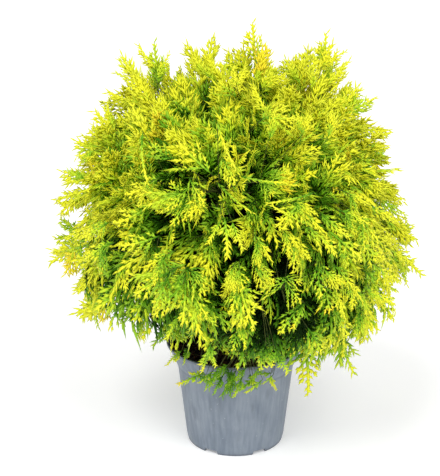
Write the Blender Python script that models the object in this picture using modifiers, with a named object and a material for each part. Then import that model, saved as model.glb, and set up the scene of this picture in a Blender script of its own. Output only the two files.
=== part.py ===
"""Golden globe thuja growing in a round nursery pot.

Every sub-part is one named object: the pot, the soil in it, the short trunk, one bough for
each mass of foliage, and the masses. Units are metres, +Z is up, and the origin is on the
ground under the middle of the pot.

Run it with:  blender --background --python part.py
"""

import math
import random

import bmesh
import bpy
from mathutils import Matrix, Vector, geometry

SEAT_GAP = 0.0003  # what stays clear between two pieces that rest on each other
MERGE_DISTANCE = 1e-5
SHARP_ANGLE = math.radians(35)

# The pot: a thin tapered wall, a collar that flares to the rim, and a ring of feet.
POT_HEIGHT = 0.156
RIM_RADIUS = 0.100
LIP_HEIGHT = 0.0035
LIP_STANDS_OUT = 0.0012
COLLAR_FOOT_RADIUS = 0.0866
COLLAR_FOOT_HEIGHT = 0.1225
WALL_TOP_RADIUS = 0.0850
WALL_TOP_HEIGHT = 0.1205
WALL_FOOT_RADIUS = 0.0724
WALL_FOOT_HEIGHT = 0.0085
FOOT_RADIUS = 0.0705
FOOT_HEIGHT = 0.0060
FOOT_WIDTH = 0.0040
WALL = 0.0018
INNER_FLOOR_RISE = 0.0029  # the inside of the wall meets the floor this far above its underside
POT_STEPS = 42
FEET = 6
FOOT_GAP_ANGLE = math.radians(15.5)
FOOT_GAP_DEPTH = 0.024
FOOT_GAP_SLANT = 1.25  # how much wider a gap between feet is at the ground than at its top
DRAIN_RADIUS = 0.056
DRAIN_SIZE = (0.010, 0.016)  # along and across the pot's radius

SOIL_TOP = 0.1460
SOIL_DOME = 0.0020
SOIL_FLAT_RADIUS = 0.0220  # the level place that the trunk stands on

# The trunk: one short stem with a root flare, leaning a little as it rises.
TRUNK_TOP = 0.300
TRUNK_LEAN = Vector((0.006, 0.003, 0.0))
TRUNK_TAPER = (  # height above the soil, radius
    (0.000, 0.0160),
    (0.007, 0.0122),
    (0.020, 0.0102),
    (0.060, 0.0088),
    (0.110, 0.0070),
    (TRUNK_TOP - SOIL_TOP, 0.0054),
)

TRUNK_SIDES = 12

BOUGH_ROOT_RADIUS = 0.0034
BOUGH_TIP_RADIUS = 0.0020
BOUGH_LOWEST = 0.172
BOUGH_HIGHEST = 0.288
BOUGH_POINTS = 4
BOUGH_SIDES = 6
BOUGH_BEND = 0.35  # share of its length over which it leaves the trunk square

# The crown: two half globes that meet at the heart from which the masses radiate. The upper is
# tall and square-shouldered, and the lower is flat, and flattest on the side where it lifts.
HEART = Vector((0.0, 0.0, 0.270))
REACH_SIDE = 0.266
REACH_UP = 0.333
REACH_DOWN = 0.130
SHOULDERS = 2.35  # 2 would make an ellipsoid
SKIRT_HEIGHT = 0.084  # no spray hangs lower
SKIRT_LIFT = 0.030
SKIRT_LIFTS_TOWARDS = math.radians(-75)
TIERS = (  # name, masses in the tier, elevation from the heart, azimuth of the first
    ("lower", 7, math.radians(-24), math.radians(-4)),
    ("middle", 7, math.radians(12), math.radians(-84)),
    ("upper", 5, math.radians(46), math.radians(-80)),
    ("top", 1, math.radians(85), math.radians(90)),
)
MASS_STARTS = 0.40  # shares of the reach: where a mass begins, and its core's two ends
CORE_INNER = 0.45
CORE_OUTER = 0.645
CORE_MIDDLE = 0.545
CORE_RADIUS = 0.084
CORE_INSET = 0.004
CORE_HALVINGS = 9
CELL_INSET = 0.0009

STEM_ENDS = 0.74
STEM_RADII = (0.0022, 0.0015)
TWIG_RADII = (0.0019, 0.0012)
TWIG_FORKS = (0.20, 0.75)  # shares of the stem's length
TWIG_OVERLAP = 0.14  # share of a blade's length that its twig runs on inside it

BLADE_THICKNESS = 0.0016
BLADE_LENGTHS = (0.108, 0.056)  # the longest tried first
BLADE_TEETH = 4
BLADE_WIDTH_SHARE = 0.70
LEADING_WIDTH_SHARE = 0.50
BLADE_TRIES = 14
PROBE_STEPS = 6  # into which each side of a blade's triangles is cut by the points tested
LEADING_TRIES = 60
BLADES_ASKED = 220
LOWEST_BLADE = math.radians(-52)
HIGHEST_BLADE = math.radians(86)
TIP_SHARES = (0.90, 0.985)

# How steeply sprays rise, in degrees, by the height of their place as seen from the heart.
FLOW = ((-1.0, -80.0), (-0.4, -55.0), (-0.2, -38.0), (0.0, -22.0), (0.3, -14.0), (0.45, 2.0),
        (0.65, 36.0), (0.85, 60.0), (1.0, 88.0))
RISE_SPREAD = 14.0
TURN_SPREAD = 0.34
LOOK_SPREAD = math.radians(70)

LIMB_CLEARANCE = 0.0012
POT_KEEP_OUT_RADIUS = 0.1065
POT_KEEP_OUT_HEIGHT = 0.1600

# The tips that stand out of the crown's even outline: the leader, the tufts beside it, the
# furthest tip on each side, and the sprays that hang lowest beside the pot.
LEADING_TIPS = (
    (0.020, 0.000, 0.6260),
    (0.118, -0.010, 0.6080),
    (0.146, -0.030, 0.5860),
    (0.166, -0.040, 0.5560),
    (-0.082, -0.020, 0.6020),
    (-0.136, -0.030, 0.5860),
    (-0.164, -0.030, 0.5640),
    (0.190, -0.010, 0.5300),
    (-0.268, -0.010, 0.2980),
    (0.268, -0.040, 0.2940),
    (0.060, -0.262, 0.3000),
    (0.030, 0.262, 0.3000),
    (0.238, -0.030, 0.4060),
    (-0.240, -0.020, 0.3900),
    (0.171, -0.070, 0.1120),
    (0.112, -0.098, 0.0980),
    (-0.045, -0.236, 0.2140),
    (0.068, -0.236, 0.2140),
    (-0.192, -0.040, 0.1960),
    (0.200, -0.010, 0.2080),
    (-0.140, 0.140, 0.1800),
    (0.020, 0.190, 0.1700),
    (0.150, 0.110, 0.1700),
)
FRONT = Vector((0.0, -0.94, 0.34))  # leading tips show their faces this way
SEED = 11

POT_GREY = (0.245, 0.284, 0.342)
SOIL_BROWN = (0.030, 0.020, 0.013)
BARK_BROWN = (0.180, 0.115, 0.070)
LEAF_GOLD = (0.410, 0.470, 0.030)


def clear_scene():
    """Removes every object that the file opened with."""
    for thing in list(bpy.data.objects):
        bpy.data.objects.remove(thing)


def new_collection(name):
    """A collection of that name, linked into the scene."""
    made = bpy.data.collections.new(name)
    bpy.context.scene.collection.children.link(made)
    return made


def new_material(name, colour, roughness):
    """A plain Principled BSDF material."""
    made = bpy.data.materials.new(name)
    made.use_nodes = True
    shader = made.node_tree.nodes["Principled BSDF"]
    shader.inputs["Base Color"].default_value = (*colour, 1.0)
    shader.inputs["Roughness"].default_value = roughness
    return made


def add_object(name, data, collection, material=None):
    """A new object in the collection, wearing the material."""
    made = bpy.data.objects.new(name, data)
    collection.objects.link(made)
    if material:
        data.materials.append(material)
    return made


def smooth(mesh):
    """Round sides shaded smooth, with the corners kept sharp."""
    mesh.shade_smooth()
    mesh.set_sharp_from_angle(angle=SHARP_ANGLE)


def evaluated_mesh(thing):
    """A new mesh of an object with its modifiers, or its curve's bevel, carried out."""
    graph = bpy.context.evaluated_depsgraph_get()
    return bpy.data.meshes.new_from_object(thing.evaluated_get(graph))


# ---------------------------------------------------------------- the pot and its soil


def turned(name, profile, collection, material, is_loop):
    """A shape turned about Z from (radius, height) points that run down its outer side."""
    mesh = bpy.data.meshes.new(name)
    edges = [(i, i + 1) for i in range(len(profile) - 1)]
    if is_loop:
        edges.append((len(profile) - 1, 0))
    mesh.from_pydata([(radius, 0.0, height) for radius, height in profile], edges, [])
    helper = add_object(name, mesh, collection)
    screw = helper.modifiers.new("turn", "SCREW")
    screw.steps = POT_STEPS
    screw.render_steps = POT_STEPS
    screw.use_merge_vertices = True
    screw.merge_threshold = MERGE_DISTANCE
    made = evaluated_mesh(helper)
    smooth(made)
    bpy.data.objects.remove(helper)
    return add_object(name, made, collection, material)


def pot_profile():
    """The pot's section from the rim down its outside, under the base and up its inside."""
    inner_rim = RIM_RADIUS - WALL
    inner_wall_foot = WALL_FOOT_RADIUS - WALL
    return [
        (RIM_RADIUS + LIP_STANDS_OUT, POT_HEIGHT),
        (RIM_RADIUS + LIP_STANDS_OUT, POT_HEIGHT - LIP_HEIGHT),
        (RIM_RADIUS - LIP_STANDS_OUT, POT_HEIGHT - LIP_HEIGHT - LIP_STANDS_OUT),
        (COLLAR_FOOT_RADIUS, COLLAR_FOOT_HEIGHT),
        (WALL_TOP_RADIUS, WALL_TOP_HEIGHT),
        (WALL_FOOT_RADIUS, WALL_FOOT_HEIGHT),
        (FOOT_RADIUS, 0.0),
        (FOOT_RADIUS - FOOT_WIDTH, 0.0),
        (FOOT_RADIUS - FOOT_WIDTH, FOOT_HEIGHT),
        (0.0, FOOT_HEIGHT),
        (0.0, FOOT_HEIGHT + WALL),
        (inner_wall_foot, FOOT_HEIGHT + INNER_FLOOR_RISE),
        (WALL_TOP_RADIUS - WALL, WALL_TOP_HEIGHT),
        (COLLAR_FOOT_RADIUS - WALL, COLLAR_FOOT_HEIGHT),
        (inner_rim, POT_HEIGHT),
    ]


def tapered_box(name, size, top_share, collection):
    """A box cutter standing on its centre, with its +Z end narrowed across Y."""
    mesh = bpy.data.meshes.new(name)
    shape = bmesh.new()
    bmesh.ops.create_cube(shape, size=1.0)
    for vertex in shape.verts:
        if vertex.co.z > 0:
            vertex.co.y *= top_share
        vertex.co = Vector((vertex.co.x * size[0], vertex.co.y * size[1], vertex.co.z * size[2]))
    shape.to_mesh(mesh)
    shape.free()
    made = add_object(name, mesh, collection)
    made.hide_render = True
    made.display_type = "WIRE"
    return made


def build_pot(parts, cutters, material):
    """The pot: its turned shell, less the gaps between its feet and its drain slots."""
    pot = turned("pot", pot_profile(), parts, material, is_loop=True)
    gap_width = 2 * FOOT_RADIUS * math.sin(FOOT_GAP_ANGLE / 2) * FOOT_GAP_SLANT
    for foot in range(FEET):
        turn = (foot + 0.5) * math.tau / FEET - math.pi / 2
        outward = Vector((math.cos(turn), math.sin(turn), 0.0))
        gap = tapered_box(f"foot_gap_{foot}", (FOOT_GAP_DEPTH, gap_width, 2 * FOOT_HEIGHT),
                          1 / FOOT_GAP_SLANT, cutters)
        gap.location = outward * FOOT_RADIUS - Vector((0, 0, SEAT_GAP))
        drain = tapered_box(f"drain_{foot}", (*DRAIN_SIZE, 4 * WALL), 1.0, cutters)
        drain.location = outward * DRAIN_RADIUS + Vector((0, 0, FOOT_HEIGHT + WALL / 2))
        for cutter in (gap, drain):
            cutter.rotation_euler.z = turn
    cut = pot.modifiers.new("feet and drains", "BOOLEAN")
    cut.operation = "DIFFERENCE"
    cut.operand_type = "COLLECTION"
    cut.collection = cutters
    return pot


def build_soil(parts, material):
    """The potting mix: it fills the pot to just under the rim, and its top is a low dome."""
    clear = WALL + 2 * SEAT_GAP
    edge = SOIL_TOP - SOIL_DOME
    share = (edge - COLLAR_FOOT_HEIGHT) / (POT_HEIGHT - COLLAR_FOOT_HEIGHT)
    edge_radius = COLLAR_FOOT_RADIUS + share * (RIM_RADIUS - COLLAR_FOOT_RADIUS) - clear
    floor = FOOT_HEIGHT + INNER_FLOOR_RISE + SEAT_GAP
    profile = [
        (0.0, SOIL_TOP),
        (SOIL_FLAT_RADIUS, SOIL_TOP),
        (edge_radius, edge),
        (COLLAR_FOOT_RADIUS - clear, COLLAR_FOOT_HEIGHT),
        (WALL_TOP_RADIUS - clear, WALL_TOP_HEIGHT),
        (WALL_FOOT_RADIUS - clear, floor),
        (0.0, floor),
    ]
    return turned("soil", profile, parts, material, is_loop=False)


# ---------------------------------------------------------------- trunk and boughs


def limb(name, points, radii, sides, collection, material):
    """A tapering limb: a bevelled curve through the points, flat at both ends. It has an even
    number of sides."""
    curve = bpy.data.curves.new(name, "CURVE")
    curve.dimensions = "3D"
    curve.bevel_depth = 1.0
    curve.bevel_resolution = (sides - 4) // 2
    curve.use_fill_caps = True
    spline = curve.splines.new("POLY")
    spline.points.add(len(points) - 1)
    for place, point, radius in zip(spline.points, points, radii):
        place.co = (*point, 1.0)
        place.radius = radius
    return add_object(name, curve, collection, material)


def trunk_radius(height):
    """The trunk's radius at a height above the ground, from its taper."""
    above = height - SOIL_TOP
    for (low, wide), (high, narrow) in zip(TRUNK_TAPER, TRUNK_TAPER[1:]):
        if above <= high:
            break
    return wide + (narrow - wide) * (above - low) / (high - low)


def trunk_centre(height):
    """The middle of the trunk at a height: upright at the soil, leaning more as it rises."""
    share = (height - SOIL_TOP) / (TRUNK_TOP - SOIL_TOP)
    return TRUNK_LEAN * share * share + Vector((0.0, 0.0, height))


def build_trunk(parts, material):
    """The trunk, from its flat cut on the soil to the fork under its leading bough."""
    heights = [SOIL_TOP + above for above, _ in TRUNK_TAPER]
    points = [trunk_centre(height) for height in heights]
    points[0] = Vector((points[1].x, points[1].y, SOIL_TOP + SEAT_GAP))
    radii = [radius for _, radius in TRUNK_TAPER]
    return limb("trunk", points, radii, TRUNK_SIDES, parts, material)


def bezier(ends, handles, share):
    """A point on the cubic curve between two ends with two handles."""
    left = 1.0 - share
    return (ends[0] * left ** 3 + handles[0] * 3 * left * left * share
            + handles[1] * 3 * left * share * share + ends[1] * share ** 3)


def bough_path(mass):
    """The points of a mass's bough: out of the trunk's side, then round to the mass's axis."""
    tip = HEART + mass.axis * reach(mass.axis) * MASS_STARTS
    if mass.tier == "top":
        root_at, out = TRUNK_TOP, Vector((0.0, 0.0, 1.0))
        root = trunk_centre(TRUNK_TOP) + out * 2 * SEAT_GAP
    else:
        root_at = BOUGH_LOWEST + (BOUGH_HIGHEST - BOUGH_LOWEST) * mass.rank
        out = Vector((mass.axis.x, mass.axis.y, 0.0)).normalized()
        root = trunk_centre(root_at) + out * trunk_radius(root_at)
    handle = (tip - root).length * BOUGH_BEND
    handles = (root + out * handle, tip - mass.axis * handle)
    shares = [i / (BOUGH_POINTS - 1) for i in range(BOUGH_POINTS)]
    points = [bezier((root, tip), handles, share) for share in shares]
    if mass.tier != "top":
        tilt = (points[1] - points[0]).angle(out)
        points[0] += out * (SEAT_GAP + BOUGH_ROOT_RADIUS * math.sin(tilt))
    return points


def bough_radii():
    """The bough's radius at each of its points."""
    step = (BOUGH_TIP_RADIUS - BOUGH_ROOT_RADIUS) / (BOUGH_POINTS - 1)
    return [BOUGH_ROOT_RADIUS + step * i for i in range(BOUGH_POINTS)]


# ---------------------------------------------------------------- the crown's rule


class Mass:
    """One mass of foliage: the space round its axis that lies nearer to it than to others."""

    def __init__(self, tier, number, axis, rank):
        self.tier = tier
        self.name = f"{tier}_{number}"
        self.axis = axis
        self.rank = rank  # 0 for the mass whose bough leaves the trunk lowest, 1 for the highest
        self.walls = []  # the unit normals of the planes through the heart that bound it

    def holds(self, point, inset):
        """True if the point is inside the mass's space, by at least the inset."""
        away = point - HEART
        return all(wall.dot(away) > inset for wall in self.walls)


def direction(azimuth, elevation):
    """A unit vector: azimuth 0 faces -Y, the front, and runs on towards +X."""
    flat = math.cos(elevation)
    return Vector((math.sin(azimuth) * flat, -math.cos(azimuth) * flat, math.sin(elevation)))


def reach(way):
    """How far the crown reaches from its heart in a direction."""
    turn = math.atan2(way.x, -way.y) - SKIRT_LIFTS_TOWARDS
    deep = REACH_DOWN - SKIRT_LIFT * math.cos(turn)
    tall, power = (REACH_UP, SHOULDERS) if way.z > 0 else (deep, 2.0)
    flat = math.hypot(way.x, way.y) / REACH_SIDE
    return (flat ** power + abs(way.z / tall) ** power) ** (-1.0 / power)


def share_of_reach(point):
    """How far out a point is, as a share of the crown's reach that way."""
    away = point - HEART
    return away.length / reach(away.normalized())


def make_masses():
    """Every mass of the crown, tier by tier, with its walls."""
    total = sum(count for _, count, _, _ in TIERS)
    masses = []
    for tier, count, elevation, first in TIERS:
        for number in range(count):
            azimuth = first + number * math.tau / count
            # neighbours in a tier leave the trunk at heights that alternate
            place = len(masses) - number + (number * 3) % count
            axis = direction(azimuth, elevation)
            masses.append(Mass(tier, number + 1, axis, place / (total - 2)))
    for mass in masses:
        mass.walls = [(mass.axis - other.axis).normalized() for other in masses if other is not mass]
    return masses


def in_open_air(point):
    """True if the point is above the crown's skirt and outside the pot."""
    outside = math.hypot(point.x, point.y) > POT_KEEP_OUT_RADIUS or point.z > POT_KEEP_OUT_HEIGHT
    return outside and point.z > SKIRT_HEIGHT


def clear_of_limbs(point, limbs, clearance):
    """True if the point keeps the clearance from every (points, radii) limb."""
    for points, radii in limbs:
        for i in range(len(points) - 1):
            _, share = geometry.intersect_point_line(point, points[i], points[i + 1])
            nearest = points[i].lerp(points[i + 1], min(1.0, max(0.0, share)))
            if (point - nearest).length < max(radii[i], radii[i + 1]) + clearance:
                return False
    return True


def is_free(point, mass, limbs, radius):
    """True if a ball round the point is in the mass's space, clear of the limbs and the pot."""
    return (mass.holds(point, CELL_INSET + radius) and in_open_air(point)
            and clear_of_limbs(point, limbs, LIMB_CLEARANCE + radius))


# ---------------------------------------------------------------- pieces of a mass


def core_mesh(mass, bough_end, onward, limbs):
    """A rounded block that fills the middle of the mass's space, beyond its bough's end and
    clear of every limb."""
    middle = HEART + mass.axis * reach(mass.axis) * CORE_MIDDLE

    def inside(point):
        share = share_of_reach(point)
        return (CORE_INNER < share < CORE_OUTER and mass.holds(point, CORE_INSET)
                and onward.dot(point - bough_end) > CORE_INSET
                and point.z > POT_KEEP_OUT_HEIGHT + CORE_INSET
                and clear_of_limbs(point, limbs, CORE_INSET))

    shape = bmesh.new()
    bmesh.ops.create_icosphere(shape, subdivisions=2, radius=1.0)
    for vertex in shape.verts:
        way = vertex.co.normalized()
        low, high = 0.0, CORE_RADIUS
        for _ in range(CORE_HALVINGS):
            half = (low + high) / 2
            low, high = (half, high) if inside(middle + way * half) else (low, half)
        vertex.co = middle + way * low
    mesh = bpy.data.meshes.new("core")
    shape.to_mesh(mesh)
    shape.free()
    return mesh


def twig_mesh(start, end, radii):
    """A straight three-sided twig."""
    along = end - start
    shape = bmesh.new()
    bmesh.ops.create_cone(shape, cap_ends=True, segments=3, radius1=radii[0], radius2=radii[1],
                          depth=along.length)
    turn = along.to_track_quat("Z", "X").to_matrix().to_4x4()
    bmesh.ops.transform(shape, matrix=Matrix.Translation((start + end) / 2) @ turn,
                        verts=shape.verts)
    mesh = bpy.data.meshes.new("twig")
    shape.to_mesh(mesh)
    shape.free()
    return mesh


def blade_outline():
    """A flat spray, a unit long on X and wide on Y: teeth point forward left and right."""
    half_rib = 0.065
    left, right = [], []
    for tooth in range(BLADE_TEETH):
        tip = 0.34 + 0.165 * tooth
        spread = 0.5 - 0.09 * tooth
        side, sign = (left, 1.0) if tooth % 2 == 0 else (right, -1.0)
        side.append((tip, sign * spread))
        side.append((tip + 0.03, sign * half_rib * (1.2 - 0.1 * tooth)))
    return [(0.0, -half_rib * 0.6), *right, (1.0, 0.0), *reversed(left), (0.0, half_rib * 0.6)]


def blade_template():
    """The toothed blade as a closed mesh of unit length, flat in XY."""
    curve = bpy.data.curves.new("blade", "CURVE")
    curve.dimensions = "2D"
    curve.fill_mode = "BOTH"
    curve.extrude = 0.5
    spline = curve.splines.new("POLY")
    outline = blade_outline()
    spline.points.add(len(outline) - 1)
    for place, (x, y) in zip(spline.points, outline):
        place.co = (x, y, 0.0, 1.0)
    spline.use_cyclic_u = True
    helper = add_object("blade", curve, bpy.context.scene.collection)
    mesh = evaluated_mesh(helper)
    bpy.data.objects.remove(helper)
    shape = bmesh.new()
    shape.from_mesh(mesh)
    bmesh.ops.remove_doubles(shape, verts=shape.verts, dist=MERGE_DISTANCE)
    bmesh.ops.recalc_face_normals(shape, faces=shape.faces)
    shape.to_mesh(mesh)
    shape.free()
    return mesh


def blade_matrix(root, along, face, length, width):
    """Places the unit blade: root, direction, the side that it shows, and its size."""
    across = face.cross(along).normalized()
    face = along.cross(across)
    turn = Matrix((along, across, face)).transposed().to_4x4()
    size = Matrix.Diagonal((length, width, BLADE_THICKNESS, 1.0))
    return Matrix.Translation(root) @ turn @ size


def blade_points():
    """Points over the unit blade that are tested: its outline, then a close grid within it."""
    outline = [Vector((x, y, 0.0)) for x, y in blade_outline()]
    shares = [(i / PROBE_STEPS, j / PROBE_STEPS) for i in range(PROBE_STEPS + 1)
              for j in range(PROBE_STEPS + 1 - i)]
    grid = []
    for a, b, c in geometry.tessellate_polygon([outline]):
        corner, first, second = outline[a], outline[b] - outline[a], outline[c] - outline[a]
        grid += [corner + first * i + second * j for i, j in shares]
    return outline + grid


def flow(height):
    """How steeply sprays rise at a height on the crown, in degrees."""
    for (low, start), (high, end) in zip(FLOW, FLOW[1:]):
        if height <= high:
            return start + (end - start) * (height - low) / (high - low)
    return FLOW[-1][1]


def spray_direction(way, dice):
    """Where a spray points: up on the crown's top, out and ever lower down its sides."""
    rise = math.radians(flow(way.z) + dice.uniform(-RISE_SPREAD, RISE_SPREAD))
    turn = math.atan2(way.x, -way.y) + dice.uniform(-TURN_SPREAD, TURN_SPREAD)
    return direction(turn, rise)


def spray_look(way, dice):
    """Where a spray's face looks: out of the crown, turned to a side and up by chance."""
    turn = dice.uniform(0.0, LOOK_SPREAD) * dice.choice((-1, 1))
    around = Vector((-way.y, way.x, 0.0)).normalized()
    up = Vector((0.0, 0.0, dice.uniform(0.0, 0.5)))
    return way * math.cos(turn) + around * math.sin(turn) + up


class Blade:
    """One flat spray: where it is, and where its twig ends inside it."""

    def __init__(self, root, along, face, length, width):
        self.matrix = blade_matrix(root, along, face, length, width)
        self.twig_end = root + along * length * TWIG_OVERLAP

    def fits(self, mass, limbs, probes):
        """True if all of the blade is in its mass's space, clear of the limbs and the pot."""
        points = [self.matrix @ probe for probe in probes]
        return all(is_free(p, mass, limbs, BLADE_THICKNESS / 2) for p in points)

    def twig_fits(self, fork, mass, limbs):
        """True if the straight twig from the fork to the blade is as clear."""
        points = [fork.lerp(self.twig_end, i / 12) for i in range(13)]
        return all(is_free(p, mass, limbs, TWIG_RADII[0]) for p in points)


def blade_to(tip, along, shows, size, dice):
    """A blade that ends at a tip, its face more or less towards the way that it shows."""
    face = shows + along.cross(shows) * dice.uniform(-0.6, 0.6)
    face = (face - along * face.dot(along)).normalized()
    return Blade(tip - along * size[0], along, face, *size)


def grow_blades(mass, stem, limbs, probes, dice):
    """The blades of one mass and the forks of their twigs: its leading tips come first, then
    tips spread evenly over the crown."""
    sprays = []
    wanted = [(Vector(tip), True) for tip in LEADING_TIPS]
    for k in range(BLADES_ASKED):
        low, high = math.sin(LOWEST_BLADE), math.sin(HIGHEST_BLADE)
        height = low + (high - low) * (k + 0.5) / BLADES_ASKED
        way = direction(k * math.pi * (3 - math.sqrt(5)), math.asin(height))
        wanted.append((HEART + way * reach(way), False))
    for tip, is_leading in wanted:
        way = (tip - HEART).normalized()
        if not mass.holds(tip, 4 * CELL_INSET):
            continue
        tries = LEADING_TRIES if is_leading else BLADE_TRIES
        for attempt in range(tries):
            shrink = attempt / (tries - 1)
            length = BLADE_LENGTHS[0] + (BLADE_LENGTHS[1] - BLADE_LENGTHS[0]) * shrink
            if is_leading:
                along = (way + spray_direction(way, dice) * 0.25 * (1 + shrink)).normalized()
                end, shows, width = tip, FRONT, LEADING_WIDTH_SHARE * length
            else:
                along = spray_direction(way, dice)
                end = HEART + (tip - HEART) * dice.uniform(*TIP_SHARES)
                shows, width = spray_look(way, dice), BLADE_WIDTH_SHARE * length
            blade = blade_to(end, along, shows, (length, width), dice)
            fork = stem[0].lerp(stem[1], dice.uniform(*TWIG_FORKS))
            if blade.fits(mass, limbs, probes) and blade.twig_fits(fork, mass, limbs):
                sprays.append((fork, blade))
                break
    return sprays


# ---------------------------------------------------------------- joining a mass


def largest_body(mesh):
    """Keeps the mesh's main skin: loose scraps go, and a sealed hollow is filled."""
    shape = bmesh.new()
    shape.from_mesh(mesh)
    bmesh.ops.triangulate(shape, faces=shape.faces)
    skins = []
    for seed in shape.faces:
        if seed.tag:
            continue
        seed.tag = True
        skin = [seed]
        for face in skin:  # grows as the walk reaches more faces
            around = [near for edge in face.edges for near in edge.link_faces if not near.tag]
            for near in around:
                near.tag = True
            skin.extend(dict.fromkeys(around))
        skins.append(skin)
    skins.sort(key=lambda skin: sum(face.calc_area() for face in skin))
    for skin in skins[:-1]:
        bmesh.ops.delete(shape, geom=skin, context="FACES")
    shape.to_mesh(mesh)
    shape.free()
    return mesh


def fuse(name, meshes, collection, material):
    """One Boolean union of closed meshes, as a new object."""
    pieces = bpy.data.collections.new(name + " pieces")
    bpy.context.scene.collection.children.link(pieces)
    base = add_object(name + " base", meshes[0], collection)
    for mesh in meshes[1:]:
        add_object(mesh.name, mesh, pieces)
    union = base.modifiers.new("fuse", "BOOLEAN")
    union.operation = "UNION"
    union.operand_type = "COLLECTION"
    union.collection = pieces
    union.solver = "MANIFOLD"  # EXACT takes minutes on this many blades
    joined = evaluated_mesh(base)
    for thing in [base, *pieces.objects]:
        bpy.data.objects.remove(thing)
    bpy.data.collections.remove(pieces)
    joined.materials.clear()
    return add_object(name, largest_body(joined), collection, material)


def build_mass(mass, bough, limbs, blade, collection, material):
    """A mass: core, stem, twigs and blades joined into one body."""
    dice = random.Random(f"{SEED} {mass.name}")
    last = (bough[-1] - bough[-2]).normalized()
    stem_start = bough[-1] + last * SEAT_GAP
    stem_end = stem_start + last * reach(mass.axis) * (STEM_ENDS - MASS_STARTS)
    core = core_mesh(mass, bough[-1], last, limbs)
    meshes = [core, twig_mesh(stem_start, stem_end, STEM_RADII)]
    for fork, spray in grow_blades(mass, (stem_start, stem_end), limbs, blade_points(), dice):
        meshes.append(twig_mesh(fork, spray.twig_end, TWIG_RADII))
        made = blade.copy()
        made.transform(spray.matrix)
        meshes.append(made)
    return fuse("foliage_" + mass.name, meshes, collection, material)


def main():
    """Builds the plant and its pot."""
    clear_scene()
    parts = new_collection("potted_thuja")
    cutters = new_collection("cutters")
    grey = new_material("pot plastic", POT_GREY, 0.55)
    brown = new_material("potting mix", SOIL_BROWN, 0.95)
    bark = new_material("bark", BARK_BROWN, 0.85)
    gold = new_material("golden foliage", LEAF_GOLD, 0.55)

    build_pot(parts, cutters, grey)
    build_soil(parts, brown)
    build_trunk(parts, bark)

    masses = make_masses()
    paths = {mass.name: bough_path(mass) for mass in masses}
    radii = bough_radii()
    trunk_line = [trunk_centre(SOIL_TOP + above) for above, _ in TRUNK_TAPER]
    limbs = [(trunk_line, [radius for _, radius in TRUNK_TAPER])]
    limbs += [(path, radii) for path in paths.values()]
    blade = blade_template()
    for mass in masses:
        path = paths[mass.name]
        limb("bough_" + mass.name, path, radii, BOUGH_SIDES, parts, bark)
        build_mass(mass, path, limbs, blade, parts, gold)
    bpy.data.meshes.remove(blade)


main()
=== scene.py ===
"""Dresses the potted golden globe thuja: its pot, potting mix, bark, twigs and sprays."""

import logging
import math
import random
from dataclasses import dataclass, field
from enum import Enum

import bmesh
import bpy
import numpy as np
from mathutils import Matrix, Vector, noise


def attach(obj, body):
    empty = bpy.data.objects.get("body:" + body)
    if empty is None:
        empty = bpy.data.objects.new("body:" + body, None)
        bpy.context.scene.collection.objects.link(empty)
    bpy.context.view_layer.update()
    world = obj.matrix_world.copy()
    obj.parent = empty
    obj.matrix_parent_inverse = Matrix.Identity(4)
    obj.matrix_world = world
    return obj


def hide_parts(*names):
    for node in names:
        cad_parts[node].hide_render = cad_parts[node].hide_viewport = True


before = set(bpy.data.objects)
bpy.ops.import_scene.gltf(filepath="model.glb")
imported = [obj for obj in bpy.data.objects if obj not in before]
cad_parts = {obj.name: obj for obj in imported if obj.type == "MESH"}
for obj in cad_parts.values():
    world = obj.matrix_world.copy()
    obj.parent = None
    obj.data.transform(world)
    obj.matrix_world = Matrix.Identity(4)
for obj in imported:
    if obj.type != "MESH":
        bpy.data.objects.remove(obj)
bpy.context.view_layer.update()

LOG = logging.getLogger("potted_thuja")
Colour = tuple[float, float, float]
Triple = tuple[float, float, float]
Span = tuple[float, float]
GOLDEN_ANGLE = math.pi * (3 - math.sqrt(5))
MILLIMETRES = 1000  # in a metre
PIXEL_SIZE = 1.46  # how many millimetres of the crown one pixel shows
SAME_PLACE = 1e-6  # metres between two vertices that are one
SOFT_DEGREES = 60.0  # the turn up to which a lumpy or barked surface is shaded smooth
MIX_FIRST, MIX_SECOND, MIX_RESULT = 6, 7, 2  # the Mix node's sockets for colours


# ---------------------------------------------------------------- shader maths


class Sock:
    """A shader socket that takes part in Python expressions on values."""

    def __init__(self, graph: "Graph", socket: bpy.types.NodeSocket) -> None:
        """Wraps the output socket of a node in the graph."""
        self.graph = graph
        self.socket = socket

    def maths(self, operation: str, left: object, right: object) -> "Sock":
        """The result of one Math node on two values or sockets."""
        return self.graph.node("ShaderNodeMath", {"operation": operation}, {0: left, 1: right})

    def __add__(self, other: object) -> "Sock":
        """Adds the other value."""
        return self.maths("ADD", self, other)

    def __radd__(self, other: object) -> "Sock":
        """Adds to the other value."""
        return self.maths("ADD", other, self)

    def __sub__(self, other: object) -> "Sock":
        """Takes the other value away."""
        return self.maths("SUBTRACT", self, other)

    def __rsub__(self, other: object) -> "Sock":
        """Takes this value from the other."""
        return self.maths("SUBTRACT", other, self)

    def __mul__(self, other: object) -> "Sock":
        """Multiplies by the other value."""
        return self.maths("MULTIPLY", self, other)

    def __rmul__(self, other: object) -> "Sock":
        """Multiplies the other value."""
        return self.maths("MULTIPLY", other, self)


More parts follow.
